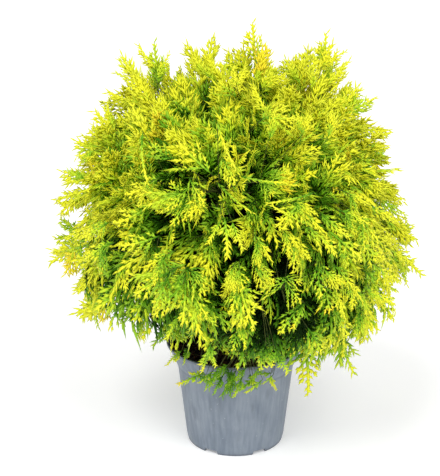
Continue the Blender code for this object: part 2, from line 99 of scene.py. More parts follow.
class Graph:
    """The node tree of one material round its Principled shader."""

    def __init__(self, name: str, roughness: float, specular: float = 0.5) -> None:
        """Makes the material.

        Args:
            name: the material's name.
            roughness: its even roughness, unless a value is fed there.
            specular: its specular level.
        """
        self.material = bpy.data.materials.new(name)
        self.material.use_nodes = True
        self.tree = self.material.node_tree
        self.shader = self.tree.nodes["Principled BSDF"]
        self.shader.inputs["Roughness"].default_value = roughness
        self.shader.inputs["Specular IOR Level"].default_value = specular

    def put(self, socket: bpy.types.NodeSocket, value: object) -> None:
        """Links or sets an input socket.

        Args:
            socket: the input.
            value: a Sock to link, a number, a vector or a colour.
        """
        if isinstance(value, Sock):
            self.tree.links.new(value.socket, socket)
        elif socket.type == "RGBA" and len(value) == 3:
            socket.default_value = (*value, 1.0)
        else:
            socket.default_value = value

    def node(self, kind: str, settings: dict | None = None, inputs: dict | None = None,
             output: int | str = 0) -> Sock:
        """Adds a node.

        Args:
            kind: the node's type.
            settings: its properties, which are set first; "stops" fills a ramp.
            inputs: the values or links of its sockets.
            output: the output to give back.

        Returns:
            That output.
        """
        made = self.tree.nodes.new(kind)
        for key, value in (settings or {}).items():
            if key == "stops":
                self.fill_ramp(made.color_ramp, value)
            else:
                setattr(made, key, value)
        for key, value in (inputs or {}).items():
            self.put(made.inputs[key], value)
        return Sock(self, made.outputs[output])

    @staticmethod
    def fill_ramp(ramp: bpy.types.ColorRamp, stops: list[Span]) -> None:
        """Gives a ramp its grey stops.

        Args:
            ramp: the ramp.
            stops: each a place and a grey level.
        """
        while len(ramp.elements) < len(stops):
            ramp.elements.new(0.5)
        for element, (place, level) in zip(ramp.elements, stops):
            element.position = place
            element.color = (level, level, level, 1.0)

    def place(self, scale: Triple = (1.0, 1.0, 1.0)) -> Sock:
        """Object coordinates, stretched by a scale on each axis."""
        coords = self.node("ShaderNodeTexCoord", output="Object")
        return self.node("ShaderNodeMapping", inputs={"Vector": coords, "Scale": scale})

    def grain(self, place: Sock, scale: float, detail: float = 3.0) -> Sock:
        """A noise value over the surface."""
        return self.node("ShaderNodeTexNoise", None,
                         {"Vector": place, "Scale": scale, "Detail": detail})

    def step(self, value: Sock, low: float, high: float) -> Sock:
        """A value that goes from 0 to 1 between two levels of another."""
        return self.node("ShaderNodeValToRGB", {"stops": [(low, 0.0), (high, 1.0)]}, {0: value})

    def mix(self, share: object, first: object, second: object) -> Sock:
        """A colour between two others."""
        return self.node("ShaderNodeMix", {"data_type": "RGBA"},
                         {0: share, MIX_FIRST: first, MIX_SECOND: second}, MIX_RESULT)

    def bump(self, height: Sock, strength: float, distance: float) -> None:
        """Feeds a relief to the shader's normal.

        Args:
            height: the relief.
            strength: how strongly it shows.
            distance: its depth, in metres.
        """
        made = self.node("ShaderNodeBump", None,
                         {"Height": height, "Strength": strength, "Distance": distance})
        self.put(self.shader.inputs["Normal"], made)

    def feed(self, name: str, value: Sock) -> None:
        """Links a value to the shader's input of that name."""
        self.put(self.shader.inputs[name], value)


# ---------------------------------------------------------------- finishes


@dataclass(frozen=True)
class Mottle:
    """Noise over a surface, cut to the range between two of its levels, and how far it shows."""

    scale: float
    detail: float
    low: float
    high: float
    stretch: Triple = (1.0, 1.0, 1.0)
    share: float = 1.0

    def on(self, graph: Graph) -> Sock:
        """The pattern on a graph, from 0 to 1."""
        grain = graph.grain(graph.place(self.stretch), self.scale, self.detail)
        return graph.step(grain, self.low, self.high)


class Finish:
    """What every finish shares: a name, how it takes the light, and a pattern of its own."""

    name: str
    roughness: float
    gloss: float

    def paint(self, graph: Graph) -> None:
        """Feeds the finish's pattern to the graph's shader."""
        raise NotImplementedError

    def material(self) -> bpy.types.Material:
        """Makes the finish.

        Returns:
            Its material.
        """
        graph = Graph(self.name, self.roughness, self.gloss)
        self.paint(graph)
        return graph.material


@dataclass(frozen=True)
class LeafFinish(Finish):
    """Scale leaves of one tone, with a drift of hue and the faint relief of their scales."""

    name: str
    colour: Colour
    drift: Colour
    roughness: float = 0.50
    gloss: float = 0.22
    patches: Mottle = Mottle(38.0, 2.0, 0.35, 0.68)
    scales: float = 620.0
    relief: Span = (0.45, 0.0006)

    def paint(self, graph: Graph) -> None:
        """Feeds the two hues and the scales."""
        graph.feed("Base Color", graph.mix(self.patches.on(graph), self.colour, self.drift))
        graph.bump(graph.grain(graph.place(), self.scales, 1.0), *self.relief)


@dataclass(frozen=True)
class BarkFinish(Finish):
    """Thin bark that is drawn out in fibres along the limb, lighter on its ridges."""

    name: str
    furrow: Colour
    ridge: Colour
    fibre: Triple
    roughness: float = 0.92
    gloss: float = 0.25
    fibre_grain: Span = (3.0, 5.0)
    flake_grain: Span = (160.0, 3.0)
    flake_share: float = 0.3
    raised_flakes: float = 0.4
    ridges_from: Span = (0.38, 0.62)
    worn: float = 0.18
    relief: Span = (0.6, 0.0015)

    def paint(self, graph: Graph) -> None:
        """Feeds the fibres and flakes.

        Args:
            graph: the graph.
        """
        fibres = graph.grain(graph.place(self.fibre), *self.fibre_grain)
        flakes = graph.grain(graph.place(), *self.flake_grain)
        both = fibres * (1 - self.flake_share) + flakes * self.flake_share
        share = graph.step(both, *self.ridges_from)
        graph.feed("Base Color", graph.mix(share, self.furrow, self.ridge))
        graph.feed("Roughness", self.roughness - share * self.worn)
        graph.bump(fibres * (1 - self.raised_flakes) + flakes * self.raised_flakes, *self.relief)


@dataclass(frozen=True)
class PotPlastic(Finish):
    """Blue-grey moulded plastic: drawn streaks up the wall, dusty blooms, scuffs and specks."""

    name: str = "pot_plastic"
    roughness: float = 0.48
    gloss: float = 0.40
    colour: Colour = (0.138, 0.172, 0.222)
    bloom: Colour = (0.280, 0.320, 0.372)
    # This colour serves the real stains and also the painted shade under the ledge and along the
    # foot.
    stain_and_shade: Colour = (0.070, 0.082, 0.108)
    speck: Colour = (0.640, 0.680, 0.700)
    streaks: Mottle = Mottle(210.0, 5.0, 0.34, 0.70, (1.0, 1.0, 0.06), 0.45)
    blooms: Mottle = Mottle(30.0, 5.0, 0.36, 0.68, (1.0, 1.0, 0.6), 0.50)
    stains: Mottle = Mottle(62.0, 6.0, 0.54, 0.78, (1.0, 1.0, 0.4), 0.36)
    specks: Mottle = Mottle(420.0, 2.0, 0.735, 0.765, share=0.7)
    scuffs: Mottle = Mottle(260.0, 3.0, 0.66, 0.78, (1.0, 1.0, 0.22), 0.35)
    # Painted shade: the heights of a darker band just under the collar's ledge and of a darker
    # line along the foot where the pot stands, and how far each shows.
    ledge_shade_band: Triple = (0.1170, 0.1205, 0.1230)
    ledge_shade_share: float = 0.55
    foot_shade_band: Span = (0.0008, 0.0042)
    foot_shade_share: float = 0.85
    rough_blooms: float = 0.18
    rough_scuffs: float = 0.12
    pores: Span = (900.0, 2.0)
    relief: Span = (0.25, 0.0004)

    def paint(self, graph: Graph) -> None:
        """Feeds the streaks, blooms, stains, scuffs and specks, and painted shade under the ledge
        and along the foot.

        Args:
            graph: the graph.
        """
        streaks, blooms, scuffs = (mottle.on(graph) for mottle in
                                   (self.streaks, self.blooms, self.scuffs))
        dusty = blooms * self.blooms.share + streaks * self.streaks.share
        base = graph.mix(dusty, self.colour, self.bloom)
        base = graph.mix(self.stains.on(graph) * self.stains.share, base, self.stain_and_shade)
        base = graph.mix(scuffs * self.scuffs.share, base, self.bloom)
        place = graph.place()
        height = graph.node("ShaderNodeSeparateXYZ", inputs={"Vector": place}, output="Z")
        # Painted shade under the ledge and along the foot, mixed towards the stain colour.
        shade_under_ledge = graph.step(height, *self.ledge_shade_band[:2]) - graph.step(height, *self.ledge_shade_band[1:])
        foot_shade_band = 1.0 - graph.step(height, *self.foot_shade_band)
        painted_shade = shade_under_ledge * self.ledge_shade_share + foot_shade_band * self.foot_shade_share
        base = graph.mix(painted_shade, base, self.stain_and_shade)
        specks = self.specks.on(graph) * self.specks.share
        graph.feed("Base Color", graph.mix(specks, base, self.speck))
        worn = blooms * self.rough_blooms + scuffs * self.rough_scuffs
        graph.feed("Roughness", self.roughness + worn)
        graph.bump(streaks * 0.5 + graph.grain(place, *self.pores) * 0.5, *self.relief)


@dataclass(frozen=True)
class MixFinish(Finish):
    """Damp potting mix: near-black fibre with rusty crumbs."""

    name: str = "potting_mix"
    roughness: float = 0.95
    gloss: float = 0.2
    damp: Colour = (0.010, 0.007, 0.005)
    crumb: Colour = (0.075, 0.040, 0.022)
    crumbs: Mottle = Mottle(230.0, 4.0, 0.50, 0.68)
    clods: Span = (320.0, 5.0)
    relief: Span = (0.9, 0.002)

    def paint(self, graph: Graph) -> None:
        """Feeds the crumbs and their relief."""
        graph.feed("Base Color", graph.mix(self.crumbs.on(graph), self.damp, self.crumb))
        graph.bump(graph.grain(graph.place(), *self.clods), *self.relief)


@dataclass(frozen=True)
class FloorFinish(Finish):
    """Studio paper on a light table: a pale sheet with the faintest mottle, lit from under."""

    name: str = "studio_paper"
    roughness: float = 0.9
    gloss: float = 0.1
    colour: Colour = (0.93, 0.93, 0.93)
    mottle: Colour = (0.90, 0.90, 0.90)
    mottle_scale: float = 6.0
    glow: float = 0.24

    def paint(self, graph: Graph) -> None:
        """Feeds the mottle and sets the glow.

        Args:
            graph: the graph.
        """
        grain = graph.grain(graph.place(), self.mottle_scale)
        graph.feed("Base Color", graph.mix(grain, self.colour, self.mottle))
        graph.put(graph.shader.inputs["Emission Color"], (1.0, 1.0, 1.0))
        graph.put(graph.shader.inputs["Emission Strength"], self.glow)


class Tone(Enum):
    """The foliage's tones, from near-black painted shade deep inside the crown, through the greens
    that the leaves really have, to their gold sunlit tips.
    """

    SHADE = LeafFinish("leaf_shade", (0.004, 0.016, 0.001), (0.007, 0.026, 0.001), 0.6, 0.05)
    DEEP = LeafFinish("leaf_deep", (0.016, 0.072, 0.002), (0.028, 0.100, 0.002), 0.55, 0.08)
    MOSS = LeafFinish("leaf_moss", (0.050, 0.175, 0.004), (0.082, 0.225, 0.004), 0.55, 0.12)
    GREEN = LeafFinish("leaf_green", (0.128, 0.340, 0.008), (0.180, 0.400, 0.008), 0.50, 0.16)
    LIME = LeafFinish("leaf_lime", (0.285, 0.530, 0.020), (0.370, 0.610, 0.018))
    YELLOW = LeafFinish("leaf_yellow", (0.530, 0.715, 0.022), (0.620, 0.760, 0.020))
    GOLD = LeafFinish("leaf_gold", (0.850, 0.850, 0.022), (0.800, 0.860, 0.034))
    AMBER = LeafFinish("leaf_amber", (0.910, 0.800, 0.022), (0.920, 0.750, 0.028))


TONE_STEPS = ((0.08, Tone.SHADE), (0.24, Tone.DEEP), (0.38, Tone.MOSS), (0.53, Tone.GREEN),
              (0.69, Tone.LIME), (0.85, Tone.YELLOW), (math.inf, Tone.GOLD))
OLD_BARK = BarkFinish("bark", (0.060, 0.038, 0.026), (0.260, 0.190, 0.135), (60.0, 60.0, 9.0))
TWIG_BARK = BarkFinish("twig_bark", (0.034, 0.052, 0.010), (0.110, 0.130, 0.026),
                       (90.0, 90.0, 40.0))
CHIP_BARK = BarkFinish("chip_bark", (0.035, 0.018, 0.010), (0.160, 0.075, 0.034),
                       (70.0, 70.0, 70.0))


# ---------------------------------------------------------------- modelling helpers


def deselect_all() -> None:
    """Leaves nothing selected, so that an operator acts only on what comes next."""
    if bpy.context.object and bpy.context.object.mode != "OBJECT":
        bpy.ops.object.mode_set(mode="OBJECT")
    bpy.ops.object.select_all(action="DESELECT")


def select_only(piece: bpy.types.Object) -> None:
    """Leaves one piece selected and active.

    Args:
        piece: the piece.
    """
    deselect_all()
    piece.select_set(True)
    bpy.context.view_layer.objects.active = piece


def apply_modifiers(piece: bpy.types.Object) -> None:
    """Applies each of a piece's modifiers in turn.

    Args:
        piece: the piece.
    """
    select_only(piece)
    for modifier in list(piece.modifiers):
        bpy.ops.object.modifier_apply(modifier=modifier.name)


def apply_place(piece: bpy.types.Object) -> None:
    """Moves a piece's place, turn and scale into its mesh."""
    select_only(piece)
    bpy.ops.object.transform_apply(location=True, rotation=True, scale=True)


def face_outwards(piece: bpy.types.Object) -> None:
    """Merges a closed piece's doubles and turns its faces outwards.

    Args:
        piece: the piece.
    """
    shape = bmesh.new()
    shape.from_mesh(piece.data)
    bmesh.ops.remove_doubles(shape, verts=shape.verts, dist=SAME_PLACE)
    bmesh.ops.recalc_face_normals(shape, faces=shape.faces)
    if shape.calc_volume(signed=True) < 0:
        bmesh.ops.reverse_faces(shape, faces=shape.faces)
    shape.to_mesh(piece.data)
    shape.free()


def shade_round(piece: bpy.types.Object, degrees: float) -> None:
    """Shades a piece smooth but for corners that turn by more than an angle."""
    select_only(piece)
    bpy.ops.object.shade_smooth_by_angle(angle=math.radians(degrees))


def dress(piece: bpy.types.Object, finish: bpy.types.Material, slot: str, *nodes: str) -> None:
    """Gives a piece its finish, hangs it on the root body and hides the nodes that it stands for.

    Args:
        piece: the finished piece.
        finish: its material.
        slot: not used.
        nodes: the nodes that it replaces.
    """
    piece.data.materials.clear()
    piece.data.materials.append(finish)
    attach(piece, "root")
    if nodes:
        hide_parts(*nodes)
    piece.data.calc_loop_triangles()
    LOG.info("%s: %d triangles", piece.name, len(piece.data.loop_triangles))


def mesh_piece(name: str, points: np.ndarray, triangles: np.ndarray) -> bpy.types.Object:
    """Makes a piece from arrays.

    Args:
        name: the piece's name.
        points: its vertices, one a row.
        triangles: three vertex numbers a row.

    Returns:
        The piece, linked into the scene.
    """
    mesh = bpy.data.meshes.new(name)
    mesh.vertices.add(len(points))
    mesh.vertices.foreach_set("co", points.astype(np.float32).ravel())
    mesh.loops.add(3 * len(triangles))
    mesh.loops.foreach_set("vertex_index", triangles.astype(np.int32).ravel())
    mesh.polygons.add(len(triangles))
    mesh.polygons.foreach_set("loop_start", np.arange(0, 3 * len(triangles), 3, dtype=np.int32))
    mesh.update(calc_edges=True)
    mesh.validate()
    piece = bpy.data.objects.new(name, mesh)
    bpy.context.scene.collection.objects.link(piece)
    return piece


@dataclass
class Bundle:
    """Small closed meshes gathered to be joined as one piece."""

    points: list[np.ndarray] = field(default_factory=list)
    triangles: list[np.ndarray] = field(default_factory=list)
    count: int = 0

    def add(self, points: np.ndarray, triangles: np.ndarray) -> None:
        """Adds one mesh.

        Args:
            points: its vertices, one a row.
            triangles: three vertex numbers a row.
        """
        self.points.append(points)
        self.triangles.append(triangles + self.count)
        self.count += len(points)

    def piece(self, name: str) -> bpy.types.Object:
        """Joins what was gathered."""
        return mesh_piece(name, np.concatenate(self.points), np.concatenate(self.triangles))


def unit(vector: np.ndarray) -> np.ndarray:
    """The vector, or each row of it, at length 1."""
    return vector / np.linalg.norm(vector, axis=-1, keepdims=True)


def turned(name: str, sides: int, rings: list[Span]) -> bpy.types.Object:
    """A closed round shape: a disc, extruded ring by ring and filled at its end.

    Args:
        name: the piece's name.
        sides: how many sides it has.
        rings: the radius and the height of each ring, the disc's first.

    Returns:
        The piece.
    """
    deselect_all()
    radius, height = rings[0]
    bpy.ops.mesh.primitive_circle_add(vertices=sides, radius=radius, fill_type="NGON",
                                      location=(0, 0, 0))
    piece = bpy.context.object
    piece.name = name
    bpy.ops.object.mode_set(mode="EDIT")
    bpy.ops.transform.translate(value=(0, 0, height))
    bpy.ops.mesh.select_mode(type="EDGE")
    bpy.ops.mesh.region_to_loop()
    for next_radius, next_height in rings[1:]:
        bpy.ops.mesh.extrude_edges_move(
            TRANSFORM_OT_translate={"value": (0, 0, next_height - height)})
        share = next_radius / radius
        bpy.ops.transform.resize(value=(share, share, 1.0))
        radius, height = next_radius, next_height
    bpy.ops.mesh.edge_face_add()
    bpy.ops.object.mode_set(mode="OBJECT")
    return piece


def either_way(dice: random.Random, most: float) -> float:
    """A chance number up to an amount, over or under nought."""
    return dice.uniform(-most, most)


def bezier(stops: list[np.ndarray], count: int) -> np.ndarray:
    """Points along a Bezier curve.

    Args:
        stops: its two ends with one or two handles between them.
        count: how many points.

    Returns:
        The points, one a row.
    """
    shares = np.linspace(0.0, 1.0, count)[:, None]
    order = len(stops) - 1
    return sum(math.comb(order, k) * (1 - shares) ** (order - k) * shares ** k * stop
               for k, stop in enumerate(stops))


# What a tube's first side is set off from; the second is for a path that runs along the first.
GUIDES = np.array([[0.31, 0.95, 0.05], [1.0, 0.0, 0.1]])


def tube(path: np.ndarray, radii: np.ndarray, sides: int) -> tuple[np.ndarray, np.ndarray]:
    """A closed tube round a path.

    Args:
        path: the points of its middle.
        radii: one radius a point, or one for each side of each point.
        sides: how many sides it has.

    Returns:
        Its vertices and its triangles.
    """
    along = unit(np.gradient(path, axis=0))
    steep = abs(along[0, 1]) >= 0.9
    across = unit(np.cross(along, GUIDES[int(steep)]))
    other = np.cross(along, across)
    turns = np.arange(sides) * math.tau / sides
    ring = (across[:, None] * np.cos(turns)[None, :, None]
            + other[:, None] * np.sin(turns)[None, :, None])
    radii = np.asarray(radii)
    spread = radii[:, None] if radii.ndim == 1 else radii
    points = path[:, None] + ring * spread[..., None]
    points = np.concatenate([points.reshape(-1, 3), path[:1], path[-1:]])
    rings = len(path)
    here = np.arange(sides)
    after = (here + 1) % sides
    triangles = []
    for i in range(rings - 1):
        low, high = i * sides, (i + 1) * sides
        triangles.append(np.stack([low + here, low + after, high + after], axis=1))
        triangles.append(np.stack([low + here, high + after, high + here], axis=1))
    first, last = rings * sides, rings * sides + 1
    end = (rings - 1) * sides
    triangles.append(np.stack([np.full(sides, first), after, here], axis=1))
    triangles.append(np.stack([np.full(sides, last), end + here, end + after], axis=1))
    return points, np.concatenate(triangles)


@dataclass(frozen=True)
class Rod:
    """A plain limb: its radius at each end, how many points it has and how many sides."""

    radii: Span
    points: int
    sides: int

    def along(self, path: np.ndarray) -> tuple[np.ndarray, np.ndarray]:
        """The vertices and the triangles of the limb on a path."""
        return tube(path, np.linspace(*self.radii, len(path)), self.sides)


# ---------------------------------------------------------------- pot and potting mix


@dataclass
class Pot:
    """The thin-walled nursery pot, with its flared collar, rolled lip, feet and drains."""

    height: float = 0.156
    rim_radius: float = 0.100
    lip_height: float = 0.0035
    lip_stands_out: float = 0.0012
    collar_foot: Span = (0.0866, 0.1225)
    wall_top: Span = (0.0850, 0.1205)
    wall_foot: Span = (0.0724, 0.0085)
    foot_radius: float = 0.0705
    foot_width: float = 0.0040
    foot_height: float = 0.0060
    wall: float = 0.0018
    floor_rise: float = 0.0029
    sides: int = 144
    feet: int = 6
    gap_angle: float = math.radians(15.5)
    gap_slant: float = 1.25
    gap_depth: float = 0.024
    gap_below: float = 0.0003
    drain_radius: float = 0.056
    drain_size: Span = (0.010, 0.016)
    drain_walls: int = 6
    edge_round: float = 0.0005
    edge_segments: int = 2
    edge_degrees: float = 40.0

    def profile(self) -> list[Span]:
        """The section's rings: the base, under the foot, up the outside and down inside.

        Returns:
            The radius and the height of each ring.
        """
        rim = self.rim_radius
        foot = self.foot_radius - self.foot_width
        below_lip = self.height - self.lip_height
        return [
            (foot, self.foot_height),
            (foot, 0.0),
            (self.foot_radius, 0.0),
            self.wall_foot,
            self.wall_top,
            self.collar_foot,
            (rim - self.lip_stands_out, below_lip - self.lip_stands_out),
            (rim + self.lip_stands_out, below_lip),
            (rim + self.lip_stands_out, self.height),
            (rim - self.wall, self.height),
            (self.collar_foot[0] - self.wall, self.collar_foot[1]),
            (self.wall_top[0] - self.wall, self.wall_top[1]),
            (self.wall_foot[0] - self.wall, self.foot_height + self.floor_rise),
        ]

    def cutter(self, size: Triple, place: Vector, turn: float, slant: float) -> bpy.types.Object:
        """A box to cut with.

        Args:
            size: its length out from the axis, its width and its height.
            place: its middle.
            turn: the angle that it is turned to about the pot's axis.
            slant: how much wider its foot is than its top.

        Returns:
            The box.
        """
        deselect_all()
        bpy.ops.mesh.primitive_cube_add(size=1.0, location=place, rotation=(0, 0, turn))
        box = bpy.context.object
        box.scale = size
        apply_place(box)
        top = place.z + size[2] / 4
        for vertex in box.data.vertices:
            vertex.select = vertex.co.z > top
        middle = Matrix.Translation(place) @ Matrix.Rotation(turn, 4, "Z")
        squeeze = middle @ Matrix.Diagonal((1.0, 1.0 / slant, 1.0, 1.0)) @ middle.inverted()
        for vertex in box.data.vertices:
            if vertex.select:
                vertex.co = squeeze @ vertex.co
        return box

    def cutters(self) -> list[bpy.types.Object]:
        """The six gaps between the feet and the six drain slots.

        Returns:
            The boxes that cut them.
        """
        made = []
        width = 2 * self.foot_radius * math.sin(self.gap_angle / 2) * self.gap_slant
        for foot in range(self.feet):
            turn = (foot + 0.5) * math.tau / self.feet - math.pi / 2
            outward = Vector((math.cos(turn), math.sin(turn), 0.0))
            gap = outward * self.foot_radius - Vector((0, 0, self.gap_below))
            made.append(self.cutter((self.gap_depth, width, 2 * self.foot_height), gap, turn,
                                    self.gap_slant))
            drain = outward * self.drain_radius + Vector((0, 0, self.foot_height))
            through = (*self.drain_size, self.drain_walls * self.wall)
            made.append(self.cutter(through, drain, turn, 1.0))
        return made

    def build(self) -> None:
        """Models the pot and dresses it."""
        pot = turned("pot_shell", self.sides, self.profile())
        face_outwards(pot)
        for number, box in enumerate(self.cutters()):
            cut = pot.modifiers.new(f"cut_{number}", "BOOLEAN")
            cut.operation = "DIFFERENCE"
            cut.object = box
            apply_modifiers(pot)
            bpy.data.objects.remove(box)
        rounding = pot.modifiers.new("edges", "BEVEL")
        rounding.width = self.edge_round
        rounding.segments = self.edge_segments
        rounding.limit_method = "ANGLE"
        rounding.angle_limit = math.radians(self.edge_degrees)
        rounding.use_clamp_overlap = True
        apply_modifiers(pot)
        shade_round(pot, self.edge_degrees)
        dress(pot, PotPlastic().material(), "pot_plastic", "pot")


BOX_CORNERS = np.array([[x, y, z] for z in (-1, 1) for y in (-1, 1) for x in (-1, 1)], float) / 2
BOX_FACES = np.array([[0, 2, 3], [0, 3, 1], [4, 5, 7], [4, 7, 6], [0, 1, 5], [0, 5, 4], [2, 6, 7],
                      [2, 7, 3], [0, 4, 6], [0, 6, 2], [1, 3, 7], [1, 7, 5]])


@dataclass
class PottingMix:
    """The filled pot's lumpy top, with bark chips pressed into it."""

    top: float = 0.1452
    top_radius: float = 0.0930
    flanks: tuple[Span, ...] = (
        (0.0700, 0.0100), (0.0828, 0.1203), (0.0842, 0.1224), (0.0925, 0.1430), (0.0932, 0.1447))
    sides: int = 96
    top_rings: int = 22
    lump: float = 0.0032
    lumps: tuple[Triple, ...] = ((55.0, 0.75, 0.0), (190.0, 0.35, 4.0))
    chips: int = 420
    chip_length: Span = (0.003, 0.010)
    chip_width: Span = (0.3, 0.7)
    chip_thickness: Span = (0.12, 0.3)
    chip_skew: float = 0.18
    chip_tilt: float = 0.35
    chip_rise: float = 0.3
    litter_share: float = 0.96
    seed: int = 5

    def bed_height(self, x: float, y: float) -> float:
        """The height of the mix's surface at a place.

        Args:
            x: the place's first coordinate.
            y: its second.

        Returns:
            The height.
        """
        lumps = [share * noise.noise(Vector((x * rate, y * rate, apart)))
                 for rate, share, apart in self.lumps]
        return self.top + self.lump * sum(lumps)

    def bed(self) -> bpy.types.Object:
        """The body of the mix: a plug that follows the pot's wall, its top lumped.

        Returns:
            The piece.
        """
        top = [(self.top_radius * (1 - k / self.top_rings), self.top)
               for k in range(self.top_rings)]
        bed = turned("mix_bed", self.sides, [*self.flanks, *top])
        for vertex in bed.data.vertices:
            if abs(vertex.co.z - self.top) < 10 * SAME_PLACE:
                vertex.co.z = self.bed_height(vertex.co.x, vertex.co.y)
        shade_round(bed, SOFT_DEGREES)
        return bed

    def chip_litter(self) -> bpy.types.Object:
        """Flakes of bark, each a skewed box, lying on the bed and a little into it.

        Returns:
            The piece that they are joined in.
        """
        dice = random.Random(self.seed)
        litter = Bundle()
        for _ in range(self.chips):
            radius = self.top_radius * self.litter_share * math.sqrt(dice.random())
            turn = dice.uniform(0, math.tau)
            x, y = radius * math.cos(turn), radius * math.sin(turn)
            long = dice.uniform(*self.chip_length)
            size = np.array([long, long * dice.uniform(*self.chip_width),
                             long * dice.uniform(*self.chip_thickness)])
            skew = np.array([[either_way(dice, self.chip_skew) for _ in range(3)]
                             for _ in BOX_CORNERS])
            tilt = (Matrix.Rotation(dice.gauss(0, self.chip_tilt), 3, "X")
                    @ Matrix.Rotation(dice.gauss(0, self.chip_tilt), 3, "Y"))
            spin = np.array(Matrix.Rotation(dice.uniform(0, math.tau), 3, "Z") @ tilt)
            middle = np.array([x, y, self.bed_height(x, y) + size[2] * self.chip_rise])
            litter.add((BOX_CORNERS + skew) * size @ spin.T + middle, BOX_FACES)
        return litter.piece("mix_chips")

    def build(self) -> None:
        """Models the mix and dresses it."""
        bed = self.bed()
        face_outwards(bed)
        dress(bed, MixFinish().material(), "potting_mix", "soil")
        dress(self.chip_litter(), CHIP_BARK.material(), "potting_mix", "soil")


# ---------------------------------------------------------------- the crown's rule


class Tier(Enum):
    """A ring of masses: how many, their elevation from the heart and the first's azimuth."""

    LOWER = (7, math.radians(-24), math.radians(-4))
    MIDDLE = (7, math.radians(12), math.radians(-84))
    UPPER = (5, math.radians(46), math.radians(-80))
    TOP = (1, math.radians(85), math.radians(90))


def rounded(place: np.ndarray) -> np.ndarray:
    """A place to the millimetre."""
    return np.round(place * MILLIMETRES) / MILLIMETRES


def direction(azimuth: float, elevation: float) -> np.ndarray:
    """A unit vector: azimuth 0 faces -Y, the front, and runs on towards +X."""
    flat = math.cos(elevation)
    return np.array([math.sin(azimuth) * flat, -math.cos(azimuth) * flat, math.sin(elevation)])


@dataclass
class Mass:
    """One mass of foliage: what lies nearer to its axis than to any other's."""

    tier: Tier
    number: int
    axis: np.ndarray
    rank: float

    @property
    def node(self) -> str:
        """The name of the mass's own node."""
        return f"foliage_{self.tier.name.lower()}_{self.number}"

    @property
    def bough_node(self) -> str:
        """The name of the node of the bough that carries it."""
        return f"bough_{self.tier.name.lower()}_{self.number}"


@dataclass
class CrownShape:
    """The crown's outline and its division into masses."""

    heart: np.ndarray = field(default_factory=lambda: np.array([0.0, 0.0, 0.270]))
    reach_side: float = 0.266
    reach_up: float = 0.333
    reach_down: float = 0.130
    shoulders: float = 2.35
    skirt_lift: float = 0.030
    skirt_lifts_towards: float = math.radians(-75)
    mass_starts: float = 0.40
    stem_ends: float = 0.74
    pot_keep_out: Span = (0.1050, 0.1585)

    def share(self, points: np.ndarray) -> np.ndarray:
        """How far points are from the heart, as a share of the crown's reach past them.

        Args:
            points: one point, or one a row.

        Returns:
            The share of each.
        """
        away = points - self.heart
        flat = np.hypot(away[..., 0], away[..., 1]) / self.reach_side
        turn = np.arctan2(away[..., 0], -away[..., 1]) - self.skirt_lifts_towards
        down = away[..., 2] / (self.reach_down - self.skirt_lift * np.cos(turn))
        up = np.maximum(away[..., 2], 0.0) / self.reach_up
        above = (flat ** self.shoulders + up ** self.shoulders) ** (1.0 / self.shoulders)
        return np.where(away[..., 2] > 0, above, np.hypot(flat, down))

    def reach(self, way: np.ndarray) -> float:
        """How far the crown reaches from its heart in a direction."""
        return 1.0 / float(self.share(self.heart + way))

    def at(self, way: np.ndarray, share: float) -> np.ndarray:
        """The point at a share of the reach in a direction."""
        return self.heart + way * self.reach(way) * share

    def masses(self) -> list[Mass]:
        """Every mass, tier by tier, with the rank of its bough up the trunk.

        Returns:
            The masses.
        """
        total = sum(tier.value[0] for tier in Tier)
        made: list[Mass] = []
        for tier in Tier:
            count, elevation, first = tier.value
            start = len(made)
            for number in range(count):
                axis = direction(first + number * math.tau / count, elevation)
                place = start + (number * 3) % count
                made.append(Mass(tier, number + 1, axis, place / (total - 2)))
        return made

    def in_open_air(self, points: np.ndarray) -> bool:
        """Tells whether points are all clear of the pot and its mix.

        Args:
            points: the points, one a row.

        Returns:
            True if no point is inside the pot or over its mix.
        """
        wide = np.hypot(points[:, 0], points[:, 1]) > self.pot_keep_out[0]
        high = points[:, 2] > self.pot_keep_out[1]
        return bool(np.all(wide | high))


